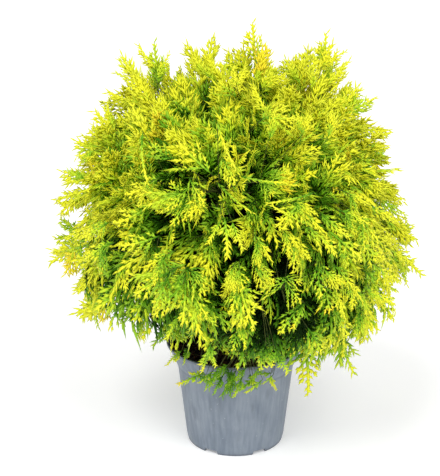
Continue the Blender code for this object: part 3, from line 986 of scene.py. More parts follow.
@dataclass(frozen=True)
class Sight:
    """The camera's place and lines of sight, and what they meet."""

    shape: CrownShape
    back: float = 2.0014
    height: float = 1.0588
    pitch: float = 0.3568
    yaw: float = 0.0114
    focal_pixels: float = 1496.4
    frame_size: tuple[int, int] = (440, 476)
    nearest: float = 1.5
    furthest: float = 2.6
    step: float = 0.0005

    @property
    def eye(self) -> np.ndarray:
        """Where the camera stands."""
        return np.array([0.0, -self.back, self.height])

    def ray(self, x: float, y: float) -> np.ndarray:
        """The direction of the line of sight through a pixel.

        Args:
            x: the pixel's column.
            y: its row.

        Returns:
            The direction.
        """
        wide, high = self.frame_size
        tilt, swing = math.pi / 2 - self.pitch, self.yaw
        tilted = np.array([[1, 0, 0], [0, math.cos(tilt), -math.sin(tilt)],
                           [0, math.sin(tilt), math.cos(tilt)]])
        swung = np.array([[math.cos(swing), -math.sin(swing), 0],
                          [math.sin(swing), math.cos(swing), 0], [0, 0, 1]])
        seen = np.array([x - wide / 2, high / 2 - y, -self.focal_pixels]) / self.focal_pixels
        return unit(swung @ tilted @ seen)

    def on_plane(self, x: float, y: float, plane: float) -> np.ndarray:
        """Where the line through a pixel meets a plane, so many millimetres behind the axis."""
        ray = self.ray(x, y)
        return rounded(self.eye + ray * ((plane / MILLIMETRES + self.back) / ray[1]))

    def in_crown(self, x: float, y: float, depth: float) -> np.ndarray:
        """Where the line of sight through a pixel gets to a depth in the crown.

        Args:
            x: the pixel's column.
            y: its row.
            depth: the depth, as a share of the crown's reach.

        Returns:
            The place, to the millimetre, or the deepest one if the line passes by.
        """
        count = round((self.furthest - self.nearest) / self.step) + 1
        ways = np.linspace(self.nearest, self.furthest, count)
        places = self.eye + self.ray(x, y) * ways[:, None]
        shares = self.shape.share(places)
        first = np.argmax(shares <= depth) if shares.min() <= depth else np.argmin(shares)
        return rounded(places[int(first)])

    def sunk(self, place: np.ndarray, depth: float, most: float) -> np.ndarray:
        """A place moved away from the camera until it is at a depth in the crown.

        Args:
            place: the place.
            depth: the depth, as a share of the crown's reach.
            most: how far it may move.

        Returns:
            The new place, to the millimetre.
        """
        ray = unit(place - self.eye)
        way = 0.0
        while self.shape.share(place + ray * way) > depth and way < most:
            way += self.step
        return rounded(place + ray * way)


# ---------------------------------------------------------------- trunk and boughs


@dataclass
class Limbs:
    """The trunk and the boughs, with fibrous bark raised on them."""

    shape: CrownShape
    soil_top: float = 0.146
    trunk_top: float = 0.300
    lean: Span = (0.006, 0.003)
    taper: tuple[Span, ...] = (
        (0.000, 0.0160), (0.007, 0.0122), (0.020, 0.0102), (0.060, 0.0088), (0.110, 0.0070),
        (0.154, 0.0054))
    trunk_rings: int = 70
    trunk_sides: int = 30
    trunk_sinks: float = 0.002
    bough_radii: Span = (0.0034, 0.0020)
    bough_heights: Span = (0.172, 0.288)
    bough_bend: float = 0.35
    bough_rings: int = 26
    bough_sides: int = 12
    bough_seat: float = 0.6
    relief: float = 0.16
    ridges_round: float = 2.4
    ridges_along: float = 26.0
    knots_along: float = 95.0
    knot_share: float = 0.5
    trunk_seed: float = 1.7
    bough_seeds: float = 7.3

    def trunk_centre(self, height: float) -> np.ndarray:
        """The middle of the trunk at a height."""
        share = (height - self.soil_top) / (self.trunk_top - self.soil_top)
        return np.array([self.lean[0] * share ** 2, self.lean[1] * share ** 2, height])

    def trunk_radius(self, height: float) -> float:
        """The trunk's radius at a height."""
        above, radii = zip(*self.taper)
        return float(np.interp(height - self.soil_top, above, radii))

    def bough_path(self, mass: Mass) -> np.ndarray:
        """The middle of a mass's bough, from the trunk's side to the mass's axis.

        Args:
            mass: the mass.

        Returns:
            The points, one a row.
        """
        tip = self.shape.at(mass.axis, self.shape.mass_starts)
        if mass.tier is Tier.TOP:
            out = np.array([0.0, 0.0, 1.0])
            root = self.trunk_centre(self.trunk_top) - out * self.trunk_sinks
        else:
            low, high = self.bough_heights
            height = low + (high - low) * mass.rank
            out = unit(mass.axis * [1, 1, 0])
            root = self.trunk_centre(height) + out * self.trunk_radius(height) * self.bough_seat
        handle = np.linalg.norm(tip - root) * self.bough_bend
        handles = [root + out * handle, tip - mass.axis * handle]
        return bezier([root, *handles, tip], self.bough_rings)

    def barked(self, path: np.ndarray, radii: np.ndarray, sides: int,
               seed: float) -> tuple[np.ndarray, np.ndarray]:
        """A tube with its bark's ridges raised.

        Args:
            path: the points of its middle.
            radii: one radius a point.
            sides: how many sides it has.
            seed: sets its ridges apart from another limb's.

        Returns:
            Its vertices and its triangles.
        """
        spread = np.empty((len(path), sides))
        lengths = np.concatenate([[0.0], np.cumsum(np.linalg.norm(np.diff(path, axis=0), axis=1))])
        for i, radius in enumerate(radii):
            for j in range(sides):
                turn = j * math.tau / sides
                round_limb = Vector((math.cos(turn) * self.ridges_round,
                                     math.sin(turn) * self.ridges_round, seed))
                ridge = noise.noise(round_limb + Vector((0, 0, lengths[i] * self.ridges_along)))
                knot = noise.noise(round_limb * self.knot_share
                                   + Vector((0, 0, lengths[i] * self.knots_along)))
                knot *= self.knot_share
                spread[i, j] = radius * (1 + self.relief * ridge + self.relief * knot)
        return tube(path, spread, sides)

    def build(self, masses: list[Mass]) -> None:
        """Models the trunk and the boughs and dresses them.

        Args:
            masses: the masses, each with a bough of its own.
        """
        foot = self.soil_top - self.trunk_sinks
        heights = np.linspace(foot, self.trunk_top, self.trunk_rings)
        path = np.array([self.trunk_centre(height) for height in heights])
        radii = np.array([self.trunk_radius(height) for height in heights])
        barked = self.barked(path, radii, self.trunk_sides, self.trunk_seed)
        trunk = mesh_piece("trunk_bark", *barked)
        shade_round(trunk, SOFT_DEGREES)
        bark = OLD_BARK.material()
        dress(trunk, bark, "bark", "trunk")
        boughs = Bundle()
        for number, mass in enumerate(masses):
            path = self.bough_path(mass)
            radii = np.linspace(*self.bough_radii, len(path))
            boughs.add(*self.barked(path, radii, self.bough_sides, self.bough_seeds * number))
        joined = boughs.piece("bough_bark")
        shade_round(joined, SOFT_DEGREES)
        dress(joined, bark, "bark", *[mass.bough_node for mass in masses])


# ---------------------------------------------------------------- sprays


@dataclass(frozen=True)
class SprayPattern:
    """The flat pattern of a spray a unit long: side branchlets by turns, and their fingers."""

    name: str
    branchlets: int = 10
    first: float = 0.05
    last: float = 0.86
    longest: float = 0.52
    heavy_side: float = 0.18
    spread: float = math.radians(28)
    closing: float = math.radians(6)
    simple_below: float = 0.09
    finger_spread: float = math.radians(22)
    finger: float = 0.145
    spacing: float = 0.062
    width: float = 0.029
    ridge: float = 0.30
    uneven: float = 0.20
    contrast: float = 0.64
    # How much a finger's depth in the crown darkens its tone: painted shade.
    depth_shade: float = 2.1
    axis_bulk: float = 1.40
    axis_pieces: int = 8
    axis_step: float = 0.105
    axis_length: float = 0.26
    heel: float = -0.12
    widest: float = 0.42
    crest: float = 0.38
    lift: float = 0.12
    curl: Span = (0.02, 0.24)
    bow: float = 0.22
    jog: float = 0.014
    simple_length: Span = (0.65, 1.25)
    simple_turn: float = 0.16
    finger_run: Span = (0.14, 0.70)
    finger_taper: Span = (1.10, 0.45)
    finger_length: Span = (0.82, 1.18)
    finger_turn: float = 0.08
    finger_lean: float = 0.10
    finger_age: float = 0.26
    axis_youth: float = 0.06
    joint_age: float = 0.20
    foot_age: Span = (0.15, 0.65)

    def finger_corners(self, base: np.ndarray, heading: float, length: float, width: float,
                       tilt: float) -> np.ndarray:
        """One finger of scale leaves: a slim kite, ridged on the spray's face.

        Args:
            base: where it starts, in the spray's plane.
            heading: its direction in that plane.
            length: its length.
            width: its greatest width.
            tilt: how far its tip leaves the plane, as a share of its length.

        Returns:
            Its four outline corners and its ridge, one a row.
        """
        along = np.array([math.cos(heading), math.sin(heading), tilt]) * length
        side = np.array([-math.sin(heading), math.cos(heading), 0.0]) * width / 2
        ridge = np.array([0.0, 0.0, width * self.ridge])
        middle = self.widest * along
        return base + np.array([self.heel * along, middle - side, along, middle + side,
                                self.crest * along + ridge])

    def branchlet(self, base: np.ndarray, heading: float, size: float, age: float,
                  dice: random.Random) -> list[tuple[np.ndarray, float]]:
        """A side branchlet with its fingers.

        Args:
            base: where it starts, in the spray's plane.
            heading: its direction in that plane.
            size: its length.
            age: how old it is at its foot.
            dice: the source of its chances.

        Returns:
            The corners and the age of each finger.
        """
        tilt = either_way(dice, self.lift)
        curl = math.copysign(dice.uniform(*self.curl), -heading)
        wide = self.width
        if size < self.simple_below:
            length = max(size, self.finger) * dice.uniform(*self.simple_length)
            aim = heading + either_way(dice, self.simple_turn)
            return [(self.finger_corners(base, aim, length, wide, tilt), age)]
        axis = np.array([math.cos(heading), math.sin(heading), tilt]) * size
        thick = wide * self.axis_bulk
        inner = self.finger_corners(base, heading, size * 0.66, thick, tilt)
        outer = self.finger_corners(base + axis * 0.50, heading + curl, size * 0.58, thick, tilt)
        made = [(inner, age - self.axis_youth), (outer, age + self.joint_age)]
        count = max(2, round(size / self.spacing))
        for k in range(count):
            share = self.finger_run[0] + self.finger_run[1] * k / count
            side = 1 if k % 2 else -1
            taper = self.finger_taper[0] - self.finger_taper[1] * share
            length = self.finger * taper * dice.uniform(*self.finger_length)
            aim = (heading + curl * share + side * self.finger_spread
                   + either_way(dice, self.finger_turn))
            lean = tilt + either_way(dice, self.finger_lean)
            made.append((self.finger_corners(base + axis * share, aim, length, wide, lean),
                         age + self.finger_age * share))
        return made

    def grow(self, number: int) -> tuple[np.ndarray, np.ndarray]:
        """Grows one spray by the pattern.

        Args:
            number: which of the pattern's sprays; an odd one is heavier on its right.

        Returns:
            Its fingers' corners, and their ages from 0 at its foot to about 1 at its tips.
        """
        dice = random.Random(f"{self.name} {number}")
        sway = either_way(dice, self.bow)
        heavy = -1 if number % 2 else 1
        grown = []

        def stop(share: float) -> np.ndarray:
            """The place on the spray's middle at a share of its length."""
            return np.array([share, sway * share * (1 - share), 0.0])

        thick = self.width * self.axis_bulk
        for k in range(self.axis_pieces):
            start = self.axis_step * k
            heading = sway * (1 - 2 * start - 0.2)
            corners = self.finger_corners(stop(start), heading, self.axis_length, thick, 0.0)
            grown.append((corners, start - self.axis_youth))
        for k in range(self.branchlets):
            share = k / (self.branchlets - 1)
            start = self.first + (self.last - self.first) * share + either_way(dice, self.jog)
            side = 1 if k % 2 else -1
            bulk = 1 + side * heavy * self.heavy_side
            full = min(1.0, 0.60 + 1.6 * start) * (1.04 - start) / 0.78
            size = self.longest * full * bulk * dice.uniform(1 - self.uneven, 1 + self.uneven)
            heading = side * (self.spread * (0.75 + 0.25 * bulk) - self.closing * start
                              + either_way(dice, 0.5) * self.uneven)
            age = self.foot_age[0] + self.foot_age[1] * start
            grown += self.branchlet(stop(start), heading, size, age, dice)
        return np.array([corners for corners, _ in grown]), np.array([age for _, age in grown])


RIDGE = 4  # the number of a finger's ridge among its corners
FINGER_FACES = np.array([[RIDGE, 0, 1], [RIDGE, 1, 2], [RIDGE, 2, 3], [RIDGE, 3, 0], [0, 2, 1],
                         [0, 3, 2]])


@dataclass
class Spray:
    """One spray where it hangs."""

    pattern: SprayPattern
    number: int
    tip: np.ndarray
    along: np.ndarray
    face: np.ndarray
    length: float
    width: float
    droop: float
    exposure: float
    cupped: float = 1.6

    def bend(self, points: np.ndarray) -> np.ndarray:
        """Bends points away from the spray's face, more towards its tip and its sides.

        Args:
            points: the points, with the spray flat along its first axis.

        Returns:
            The bent points.
        """
        x, y, z = points[..., 0], points[..., 1], points[..., 2]
        angle = self.droop * x / self.length
        radius = self.length / self.droop
        cup = self.cupped * y * y / self.length
        return np.stack([radius * np.sin(angle) + z * np.sin(angle), y,
                         radius * (np.cos(angle) - 1) + z * np.cos(angle) - cup], axis=-1)

    def placed(self, corners: np.ndarray) -> np.ndarray:
        """The pattern's corners bent, sized and moved to where the spray hangs.

        Args:
            corners: the pattern's corners, in its own plane.

        Returns:
            The same corners in the crown.
        """
        flat = np.array([self.length, self.length * self.width, self.length])
        across = unit(np.cross(self.face, self.along))
        turn = np.stack([self.along, across, np.cross(self.along, across)])
        end = self.bend(np.array([[self.length, 0.0, 0.0]]))[0]
        return (self.bend(corners * flat) - end) @ turn + self.tip

    @property
    def root(self) -> np.ndarray:
        """Where the spray's foot is."""
        return self.placed(np.zeros((1, 3)))[0]


@dataclass(frozen=True)
class Layer:
    """One layer of the crown: how many fronds it is asked for, and what they are like."""

    name: str
    asked: int
    shares: Span
    lengths: Span
    exposures: Span
    side_sprays: tuple[int, int]
    low_sprays: tuple[int, int]
    main: SprayPattern
    side: SprayPattern
    low: SprayPattern
    flank: SprayPattern
    low_shade: float
    offset: float


@dataclass(frozen=True)
class Habit:
    """What a frond that has a set place is like."""

    main: SprayPattern
    side_sprays: tuple[int, int]
    exposure: float
    droop: float


FRONT = np.array([0.0, -0.94, 0.34])
# How steeply fronds rise, in degrees, by the height of their place as seen from the heart.
FLOW = ((-1.0, -80.0), (-0.4, -55.0), (-0.2, -38.0), (0.0, -22.0), (0.3, -14.0), (0.45, 2.0),
        (0.65, 36.0), (0.85, 60.0), (1.0, 88.0))
# The share of flank patterns among low fronds, by the same height.
FLANK_SHARES = ((-0.45, 0.10), (-0.15, 0.45), (0.10, 0.72), (0.40, 0.85))
FULL_SPRAY = SprayPattern("full")
SPRIG = SprayPattern("sprig", branchlets=13, last=0.90, longest=0.48, heavy_side=0.16,
                     spread=math.radians(27), simple_below=0.24, finger_spread=math.radians(23),
                     finger=0.25, spacing=0.120, width=0.044, uneven=0.28, contrast=0.30,
                     depth_shade=1.2)
FAN = SprayPattern("fan", branchlets=9, first=0.06, last=0.86, longest=0.52, heavy_side=0.16,
                   spread=math.radians(38), closing=math.radians(4), simple_below=0.11,
                   finger_spread=math.radians(33), finger=0.105, spacing=0.076, width=0.037,
                   uneven=0.34, contrast=0.74, axis_bulk=1.45)
FEATHER = SprayPattern("feather", branchlets=13, last=0.92, longest=0.42, heavy_side=0.14,
                       spread=math.radians(31), simple_below=0.17, finger_spread=math.radians(28),
                       finger=0.115, spacing=0.082, width=0.035, uneven=0.30, contrast=0.84,
                       axis_bulk=1.40)
SIDE_SPRAY = SprayPattern("side", branchlets=9, finger=0.150, spacing=0.074, width=0.034)
INNER_SPRAY = SprayPattern("inner", branchlets=8, longest=0.40, finger=0.18, spacing=0.10,
                           width=0.055)
PLUME = SprayPattern("plume", branchlets=14, first=0.06, last=0.92, longest=0.34,
                     spread=math.radians(30), simple_below=0.24, finger_spread=math.radians(25),
                     finger=0.22, spacing=0.11, width=0.045, uneven=0.28, contrast=0.30,
                     depth_shade=1.2)
CORD = SprayPattern("cord", branchlets=18, first=0.04, last=0.94, longest=0.12,
                    spread=math.radians(27), simple_below=1.0, finger=0.10, width=0.026)
LEADER = SprayPattern("leader", branchlets=15, first=0.05, last=0.93, longest=0.38,
                      heavy_side=0.0, spread=math.radians(38), simple_below=0.26,
                      finger_spread=math.radians(32), finger=0.17, spacing=0.10, width=0.044,
                      contrast=0.20, depth_shade=1.2)
COMB = SprayPattern("comb", branchlets=15, first=0.08, last=0.90, longest=0.27, heavy_side=0.10,
                    spread=math.radians(40), simple_below=0.24, finger=0.17, spacing=0.075,
                    width=0.052)
FERN = SprayPattern("fern", branchlets=15, first=0.10, last=0.92, longest=0.34, heavy_side=0.05,
                    spread=math.radians(46), simple_below=0.22, finger=0.10, spacing=0.11,
                    width=0.042)
# Hollows in the crown's outer layers: the pixel and the depth of each, and its radius in pixels.
HOLLOWS = (
    (226, 226, 0.97, 10), (236, 246, 0.97, 7.5), (165, 166, 0.95, 13), (183, 228, 0.95, 8),
    (209, 142, 0.95, 9), (225, 165, 0.95, 6), (263, 167, 0.95, 12), (322, 213, 0.95, 9),
    (338, 202, 0.95, 11), (288, 198, 0.95, 8), (294, 258, 0.95, 10), (225, 265, 0.95, 8),
    (251, 265, 0.95, 8), (285, 264, 0.95, 6), (266, 301, 0.95, 9), (224, 307, 0.95, 7),
    (266, 330, 0.95, 8), (176, 331, 0.95, 7), (138, 212, 0.95, 7),
)
# Dents in the crown's outline: the planes, and on each the pixels and the radii in millimetres.
DENTS = (
    ((-50, 0, 50), (
        (389, 284, 16), (377, 301, 14), (356, 334, 18), (122, 318, 18), (141, 324, 18),
        (156, 308, 10), (68, 214, 14), (398, 212, 12), (391, 312, 14), (379, 335, 15),
        (364, 349, 14), (148, 306, 12),
    )),
    ((-100,), ((112, 326, 14), (128, 334, 14), (146, 342, 14))),
)
HABITS = {
    "L": Habit(LEADER, (0, 0), 0.34, 0.10),
    "P": Habit(PLUME, (0, 1), 0.60, 0.20),
    "S": Habit(SPRIG, (0, 1), 0.60, 0.20),
    "H": Habit(FAN, (0, 1), 0.54, 0.30),
    "C": Habit(FAN, (0, 0), 0.46, 0.25),
    "K": Habit(CORD, (0, 0), 0.50, 0.30),
    "W": Habit(FEATHER, (0, 1), 0.60, 0.20),
    "Y": Habit(FEATHER, (0, 1), 0.76, 0.20),
    "G": Habit(COMB, (0, 0), 0.54, 0.25),
    "B": Habit(COMB, (0, 0), 0.36, 0.25),
    "D": Habit(PLUME, (0, 0), 0.42, 0.20),
    "F": Habit(FERN, (0, 0), 0.72, 0.15),
}
# Fronds that have a set place: the tip and the foot of each, and its habit. Here each end is a
# pixel of the camera's frame and a plane that faces the front, in millimetres from the axis.
OUTLINE_PLUMES = (
    ((252, 20.4, 0), (254.5, 62, 0), "L"), ((226.8, 49.8, 30), (236, 82, 30), "P"),
    ((273, 64, -30), (262, 95, -30), "S"), ((266, 50, 0), (255, 76, 0), "P"),
    ((293, 56, 20), (287.5, 90, 20), "S"), ((308, 46, 50), (306, 84, 50), "S"),
    ((326, 32, 0), (320, 72, 0), "L"), ((333.5, 41, -10), (318, 72, -10), "P"),
    ((338, 49.4, 30), (324, 80, 30), "P"), ((351, 59, -20), (328, 85, -20), "P"),
    ((348.7, 81.5, 50), (330, 110, 50), "S"), ((359.4, 83.8, -30), (336, 118, -30), "S"),
    ((357, 106, 20), (325, 128, 20), "S"), ((186.1, 43.4, 20), (207, 82, 20), "S"),
    ((208.4, 51.4, -20), (219, 88, -20), "S"), ((169.6, 52.8, -10), (156.6, 80, -10), "P"),
    ((153.9, 39.8, 0), (158, 84, 0), "L"), ((137.9, 44.3, 0), (156, 70, 0), "P"),
    ((120.9, 53.2, -10), (146, 86, -10), "S"), ((114.2, 72, 20), (144, 86, 20), "P"),
    ((125.8, 83.1, -30), (156, 106, -30), "S"), ((105.7, 91.6, 0), (140, 103, 0), "P"),
    ((104.8, 106.8, 30), (122, 138, 30), "P"), ((94, 110, -20), (120, 136, -20), "P"),
    ((93.8, 129.2, 30), (128, 134, 30), "S"), ((73.7, 140, 0), (112, 152, 0), "S"),
    ((75.4, 156.3, -30), (104, 150, -30), "P"), ((60.2, 172, 10), (100, 178, 10), "S"),
    ((64.5, 181.8, -40), (96, 180, -40), "P"), ((54.8, 201.3, 0), (94, 192, 0), "S"),
    ((72, 206, 50), (104, 192, 50), "S"), ((74.3, 229, -20), (102, 202, -20), "P"),
    ((86.8, 231, -60), (106, 204, -60), "P"), ((53.1, 239.3, 30), (92, 240, 30), "S"),
    ((49.3, 250.2, -10), (90, 244, -10), "S"), ((48.8, 264.3, 20), (86, 246, 20), "P"),
    ((64.5, 276.2, -20), (76, 244, -20), "S"), ((83.5, 275, -70), (82, 242, -70), "P"),
    ((74.3, 290, 20), (108, 264, 20), "S"), ((95.3, 291.8, -50), (116, 262, -50), "P"),
    ((73, 314, -10), (116, 290, -10), "S"), ((83.2, 319.5, 30), (104, 290, 30), "P"),
    ((101.5, 322, -30), (112, 290, -30), "S"), ((121.6, 326.6, -60), (146, 298, -60), "P"),
    ((149.3, 331.5, -80), (170, 306, -80), "P"), ((152.4, 348, -70), (174, 320, -70), "D"),
    ((401, 202, 0), (370, 180, 0), "S"), ((399, 194.5, 50), (366, 180, 50), "S"),
    ((407.4, 216, -20), (378, 200, -20), "P"), ((403.7, 220, 40), (374, 224, 40), "P"),
    ((413.6, 225, 0), (380, 228, 0), "S"), ((419.5, 241, -20), (382, 218, -20), "S"),
    ((423.6, 276.6, -10), (390, 246, -10), "P"), ((408, 269.5, 30), (378, 244, 30), "S"),
    ((402.5, 279, -30), (376, 254, -30), "S"), ((381.3, 286, 20), (366, 256, 20), "S"),
    ((378.8, 302, -40), (350, 266, -40), "S"), ((372.9, 306.5, 0), (352, 272, 0), "S"),
    ((370, 338.4, -30), (352, 296, -30), "S"), ((351.3, 321.8, -80), (326, 298, -80), "S"),
    ((356.7, 354.6, -50), (334, 322, -50), "P"), ((354.7, 375.3, -70), (330, 332, -70), "P"),
    ((318.2, 366.2, -90), (320, 326, -80), "P"), ((332.3, 354.6, -40), (326, 322, -40), "P"),
    ((307.5, 397.5, -100), (301.5, 336.5, -92), "F"), ((243, 46, 10), (251, 84, 10), "S"),
    ((263, 44, -20), (255, 84, -20), "S"), ((150, 58, 20), (160, 92, 20), "S"),
    ((177, 70, 0), (176, 100, 0), "S"), ((168, 64, 40), (172, 96, 40), "P"),
    ((302, 54, 0), (300, 92, 0), "S"), ((314, 52, -20), (310, 90, -20), "S"),
    ((343, 62, 20), (326, 92, 20), "S"), ((240, 60, 30), (244, 96, 30), "S"),
    ((268, 58, 30), (262, 92, 30), "S"), ((110, 94, 20), (138, 108, 20), "S"),
    ((80, 135, 20), (112, 146, 20), "P"), ((90, 138, 0), (120, 142, 0), "S"),
    ((389, 146, 0), (360, 142, 0), "S"), ((391, 130, 20), (356, 130, 20), "S"),
    ((166, 366, -100), (182, 350, -90), "G"), ((184, 364.5, -105), (188, 346, -95), "G"),
    ((140, 70, 40), (151, 104, 40), "S"), ((152, 78, 30), (158, 108, 30), "S"),
    ((128, 84, 30), (144, 110, 30), "S"), ((325, 76, 40), (314, 110, 40), "S"),
    ((334, 90, 30), (318, 120, 30), "S"), ((318, 66, 50), (308, 100, 50), "S"),
)
# Here each end is a pixel and a depth in the crown, from which it sinks on to a set depth or by
# as much as it may, in metres.
FRONT_FRONDS = (
    ((149, 187, 1.03), (144, 138, 0.97), "K"), ((176, 139, 1.025), (210, 174, 0.95), "C"),
    ((150, 141, 1.02), (174, 162, 0.95), "C"), ((141.5, 192, 1.03), (190, 197, 0.97), "P"),
    ((152, 210, 1.03), (188, 202, 0.97), "C"), ((169.5, 228, 1.03), (186, 202, 0.97), "C"),
    ((183, 222, 1.03), (192, 198, 0.97), "C"), ((200, 216, 1.03), (194, 196, 0.97), "C"),
    ((170, 180, 1.03), (184, 198, 0.97), "C"), ((239, 175, 1.02), (217, 128, 0.97), "K"),
    ((255, 214, 1.03), (219, 184, 0.96), "K"), ((225, 167, 1.02), (238, 190, 0.96), "K"),
    ((290, 182, 1.03), (240, 177, 0.98), "K"), ((301, 185.5, 1.03), (262, 184, 0.98), "K"),
    ((291, 170, 1.03), (268, 182, 1), "C"), ((275, 197, 1.03), (262, 182, 0.98), "C"),
    ((264, 204, 1.03), (310, 196, 0.96), "K"), ((274, 229, 1.03), (300, 200, 0.97), "C"),
    ((282, 232, 1.025), (306, 206, 0.97), "C"), ((227, 260, 1.03), (223, 220, 0.96), "G"),
    ((130, 278, 1.03), (186, 262, 0.96), "P"), ((131, 297, 1.03), (184, 266, 0.96), "H"),
    ((157, 301, 1.03), (186, 266, 0.96), "P"), ((209, 283, 1.03), (187, 268, 0.97), "C"),
    ((206.5, 297, 1.03), (188, 270, 0.96), "C"), ((173, 311, 1.03), (186, 272, 0.96), "H"),
    ((182, 329, 1.03), (187, 274, 0.96), "H"), ((203, 339, 1.03), (192, 290, 0.96), "P"),
    ((209, 319, 1.03), (189, 284, 0.96), "C"), ((258, 310, 1.03), (238, 274, 0.96), "C"),
    ((256, 331, 1.03), (238, 276, 0.96), "H"), ((229.5, 316, 1.03), (238, 276, 0.96), "C"),
    ((241, 329, 1.03), (238, 278, 0.96), "C"), ((258, 288, 1.03), (286, 280, 0.98), "C"),
    ((302, 303, 1.03), (284, 282, 0.96), "C"), ((303.5, 283, 1.03), (282, 278, 0.96), "C"),
    ((279, 336, 1.03), (303, 304, 0.96), "C"), ((292, 330, 1.03), (304, 304, 0.97), "G"),
    ((270, 204, 1.025), (312, 222, 0.97), "K"), ((364, 260, 1.025), (326, 231, 0.97), "H"),
    ((381, 244, 1.03), (353, 213, 0.97), "H"), ((349, 268, 1.025), (340, 240, 0.97), "C"),
    ((354, 290, 1.03), (332, 262, 0.97), "H"), ((291, 104, 1.02), (258, 126, 0.95), "H"),
    ((252, 84, 1.03), (268, 116, 0.96), "P"), ((217, 79, 1.03), (236, 98, 0.96), "C"),
    ((232, 66, 1.03), (240, 96, 0.96), "P"), ((124, 196, 1.03), (160, 178, 0.96), "H"),
    ((112, 224, 1.03), (150, 204, 0.96), "H"), ((118, 246, 1.025), (160, 236, 0.96), "C"),
    ((206, 246, 1.02), (222, 222, 0.95), "G"), ((244, 252, 1.02), (232, 224, 0.95), "G"),
    ((216, 368, 1.03), (210, 342, 0.99), "G"), ((202, 373, 1.03), (208, 344, 0.99), "G"),
    ((261, 372, 1.03), (268, 344, 0.98), "C"), ((289, 374, 1.03), (272, 346, 0.98), "G"),
    ((272, 368, 1.03), (270, 346, 0.99), "C"), ((245, 350, 1.03), (240, 324, 0.98), "G"),
    ((232, 352, 1.03), (236, 326, 0.98), "C"), ((322, 300, 1.025), (316, 262, 0.97), "H"),
    ((330, 316, 1.025), (322, 282, 0.97), "C"), ((166, 340, 1.025), (176, 312, 0.97), "G"),
)
FRONT_SINKS = ((0.970, 0.032), (0.885, 0.036))
# Here the depths of all tips and all feet come first.
LIT_FRONDS = (
    (0.965, 0.885, (
        ((328, 236), (296, 206), "W"), ((338, 257), (302, 224), "W"),
        ((312, 262), (286, 232), "W"), ((352, 240), (320, 212), "W"),
        ((320, 216), (288, 196), "W"), ((222, 288), (236, 262), "W"),
        ((244, 292), (240, 262), "H"), ((300, 250), (278, 226), "W"),
        ((388, 262), (352, 236), "W"), ((78, 240), (112, 222), "W"), ((82, 262), (116, 240), "W"),
        ((372, 226), (336, 208), "W"), ((392, 298), (362, 270), "W"),
        ((372, 318), (350, 286), "W"), ((350, 338), (334, 304), "H"),
        ((140, 268), (176, 250), "W"),
    )),
    (0.985, 0.9, (
        ((402, 284), (368, 262), "Y"), ((386, 312), (362, 284), "Y"),
        ((364, 304), (342, 272), "Y"), ((346, 322), (332, 288), "Y"),
        ((374, 334), (358, 300), "Y"), ((338, 292), (320, 262), "Y"),
    )),
    (0.985, 0.895, (
        ((273, 264), (254, 234), "W"), ((262, 288), (258, 258), "H"),
        ((400, 224), (368, 205), "Y"), ((163, 212), (190, 190), "H"),
        ((206, 206), (192, 180), "H"), ((186, 218), (204, 194), "H"),
        ((276, 106), (268, 140), "W"), ((312, 112), (300, 144), "W"),
        ((343, 118), (322, 146), "W"), ((372, 206), (340, 190), "W"),
        ((322, 356), (306, 326), "H"), ((236, 186), (222, 160), "C"),
    )),
)
COLLAR_FRONDS = (
    ((177, 385, -112), (203, 373, -109), "G"), ((188, 373, -113), (206, 374, -110), "G"),
    ((208.5, 388.6, -116), (219, 366, -113), "D"), ((222, 397, -114), (232, 368, -111), "D"),
    ((230, 397, -116), (234, 376, -113), "D"), ((236, 385, -117), (226, 366, -114), "D"),
    ((242, 389, -115), (257, 375, -112), "G"), ((256, 389, -113), (250, 372, -110), "D"),
    ((277, 390.5, -113), (270, 374, -110), "G"), ((256, 374, -112), (272, 373, -109), "G"),
    ((205, 391, -116.5), (211, 372, -112.5), "B"), ((214, 395, -116.5), (223, 374, -112.5), "B"),
    ((214, 386, -116.5), (199, 374, -112.5), "B"), ((233, 398, -116.5), (243, 376, -112.5), "B"),
    ((245, 393, -116.5), (263, 378, -112.5), "G"), ((238, 391, -116.5), (253, 378, -112.5), "B"),
    ((198, 384, -116.5), (214, 371, -112.5), "G"), ((225, 388, -116.5), (237, 370, -112.5), "D"),
    ((262, 385, -116.5), (273, 374, -112.5), "G"), ((231, 381, -116.5), (247, 366, -112.5), "D"),
    ((213, 379, -116.5), (229, 363, -112.5), "D"), ((250, 379, -116.5), (263, 364, -112.5), "D"),
)


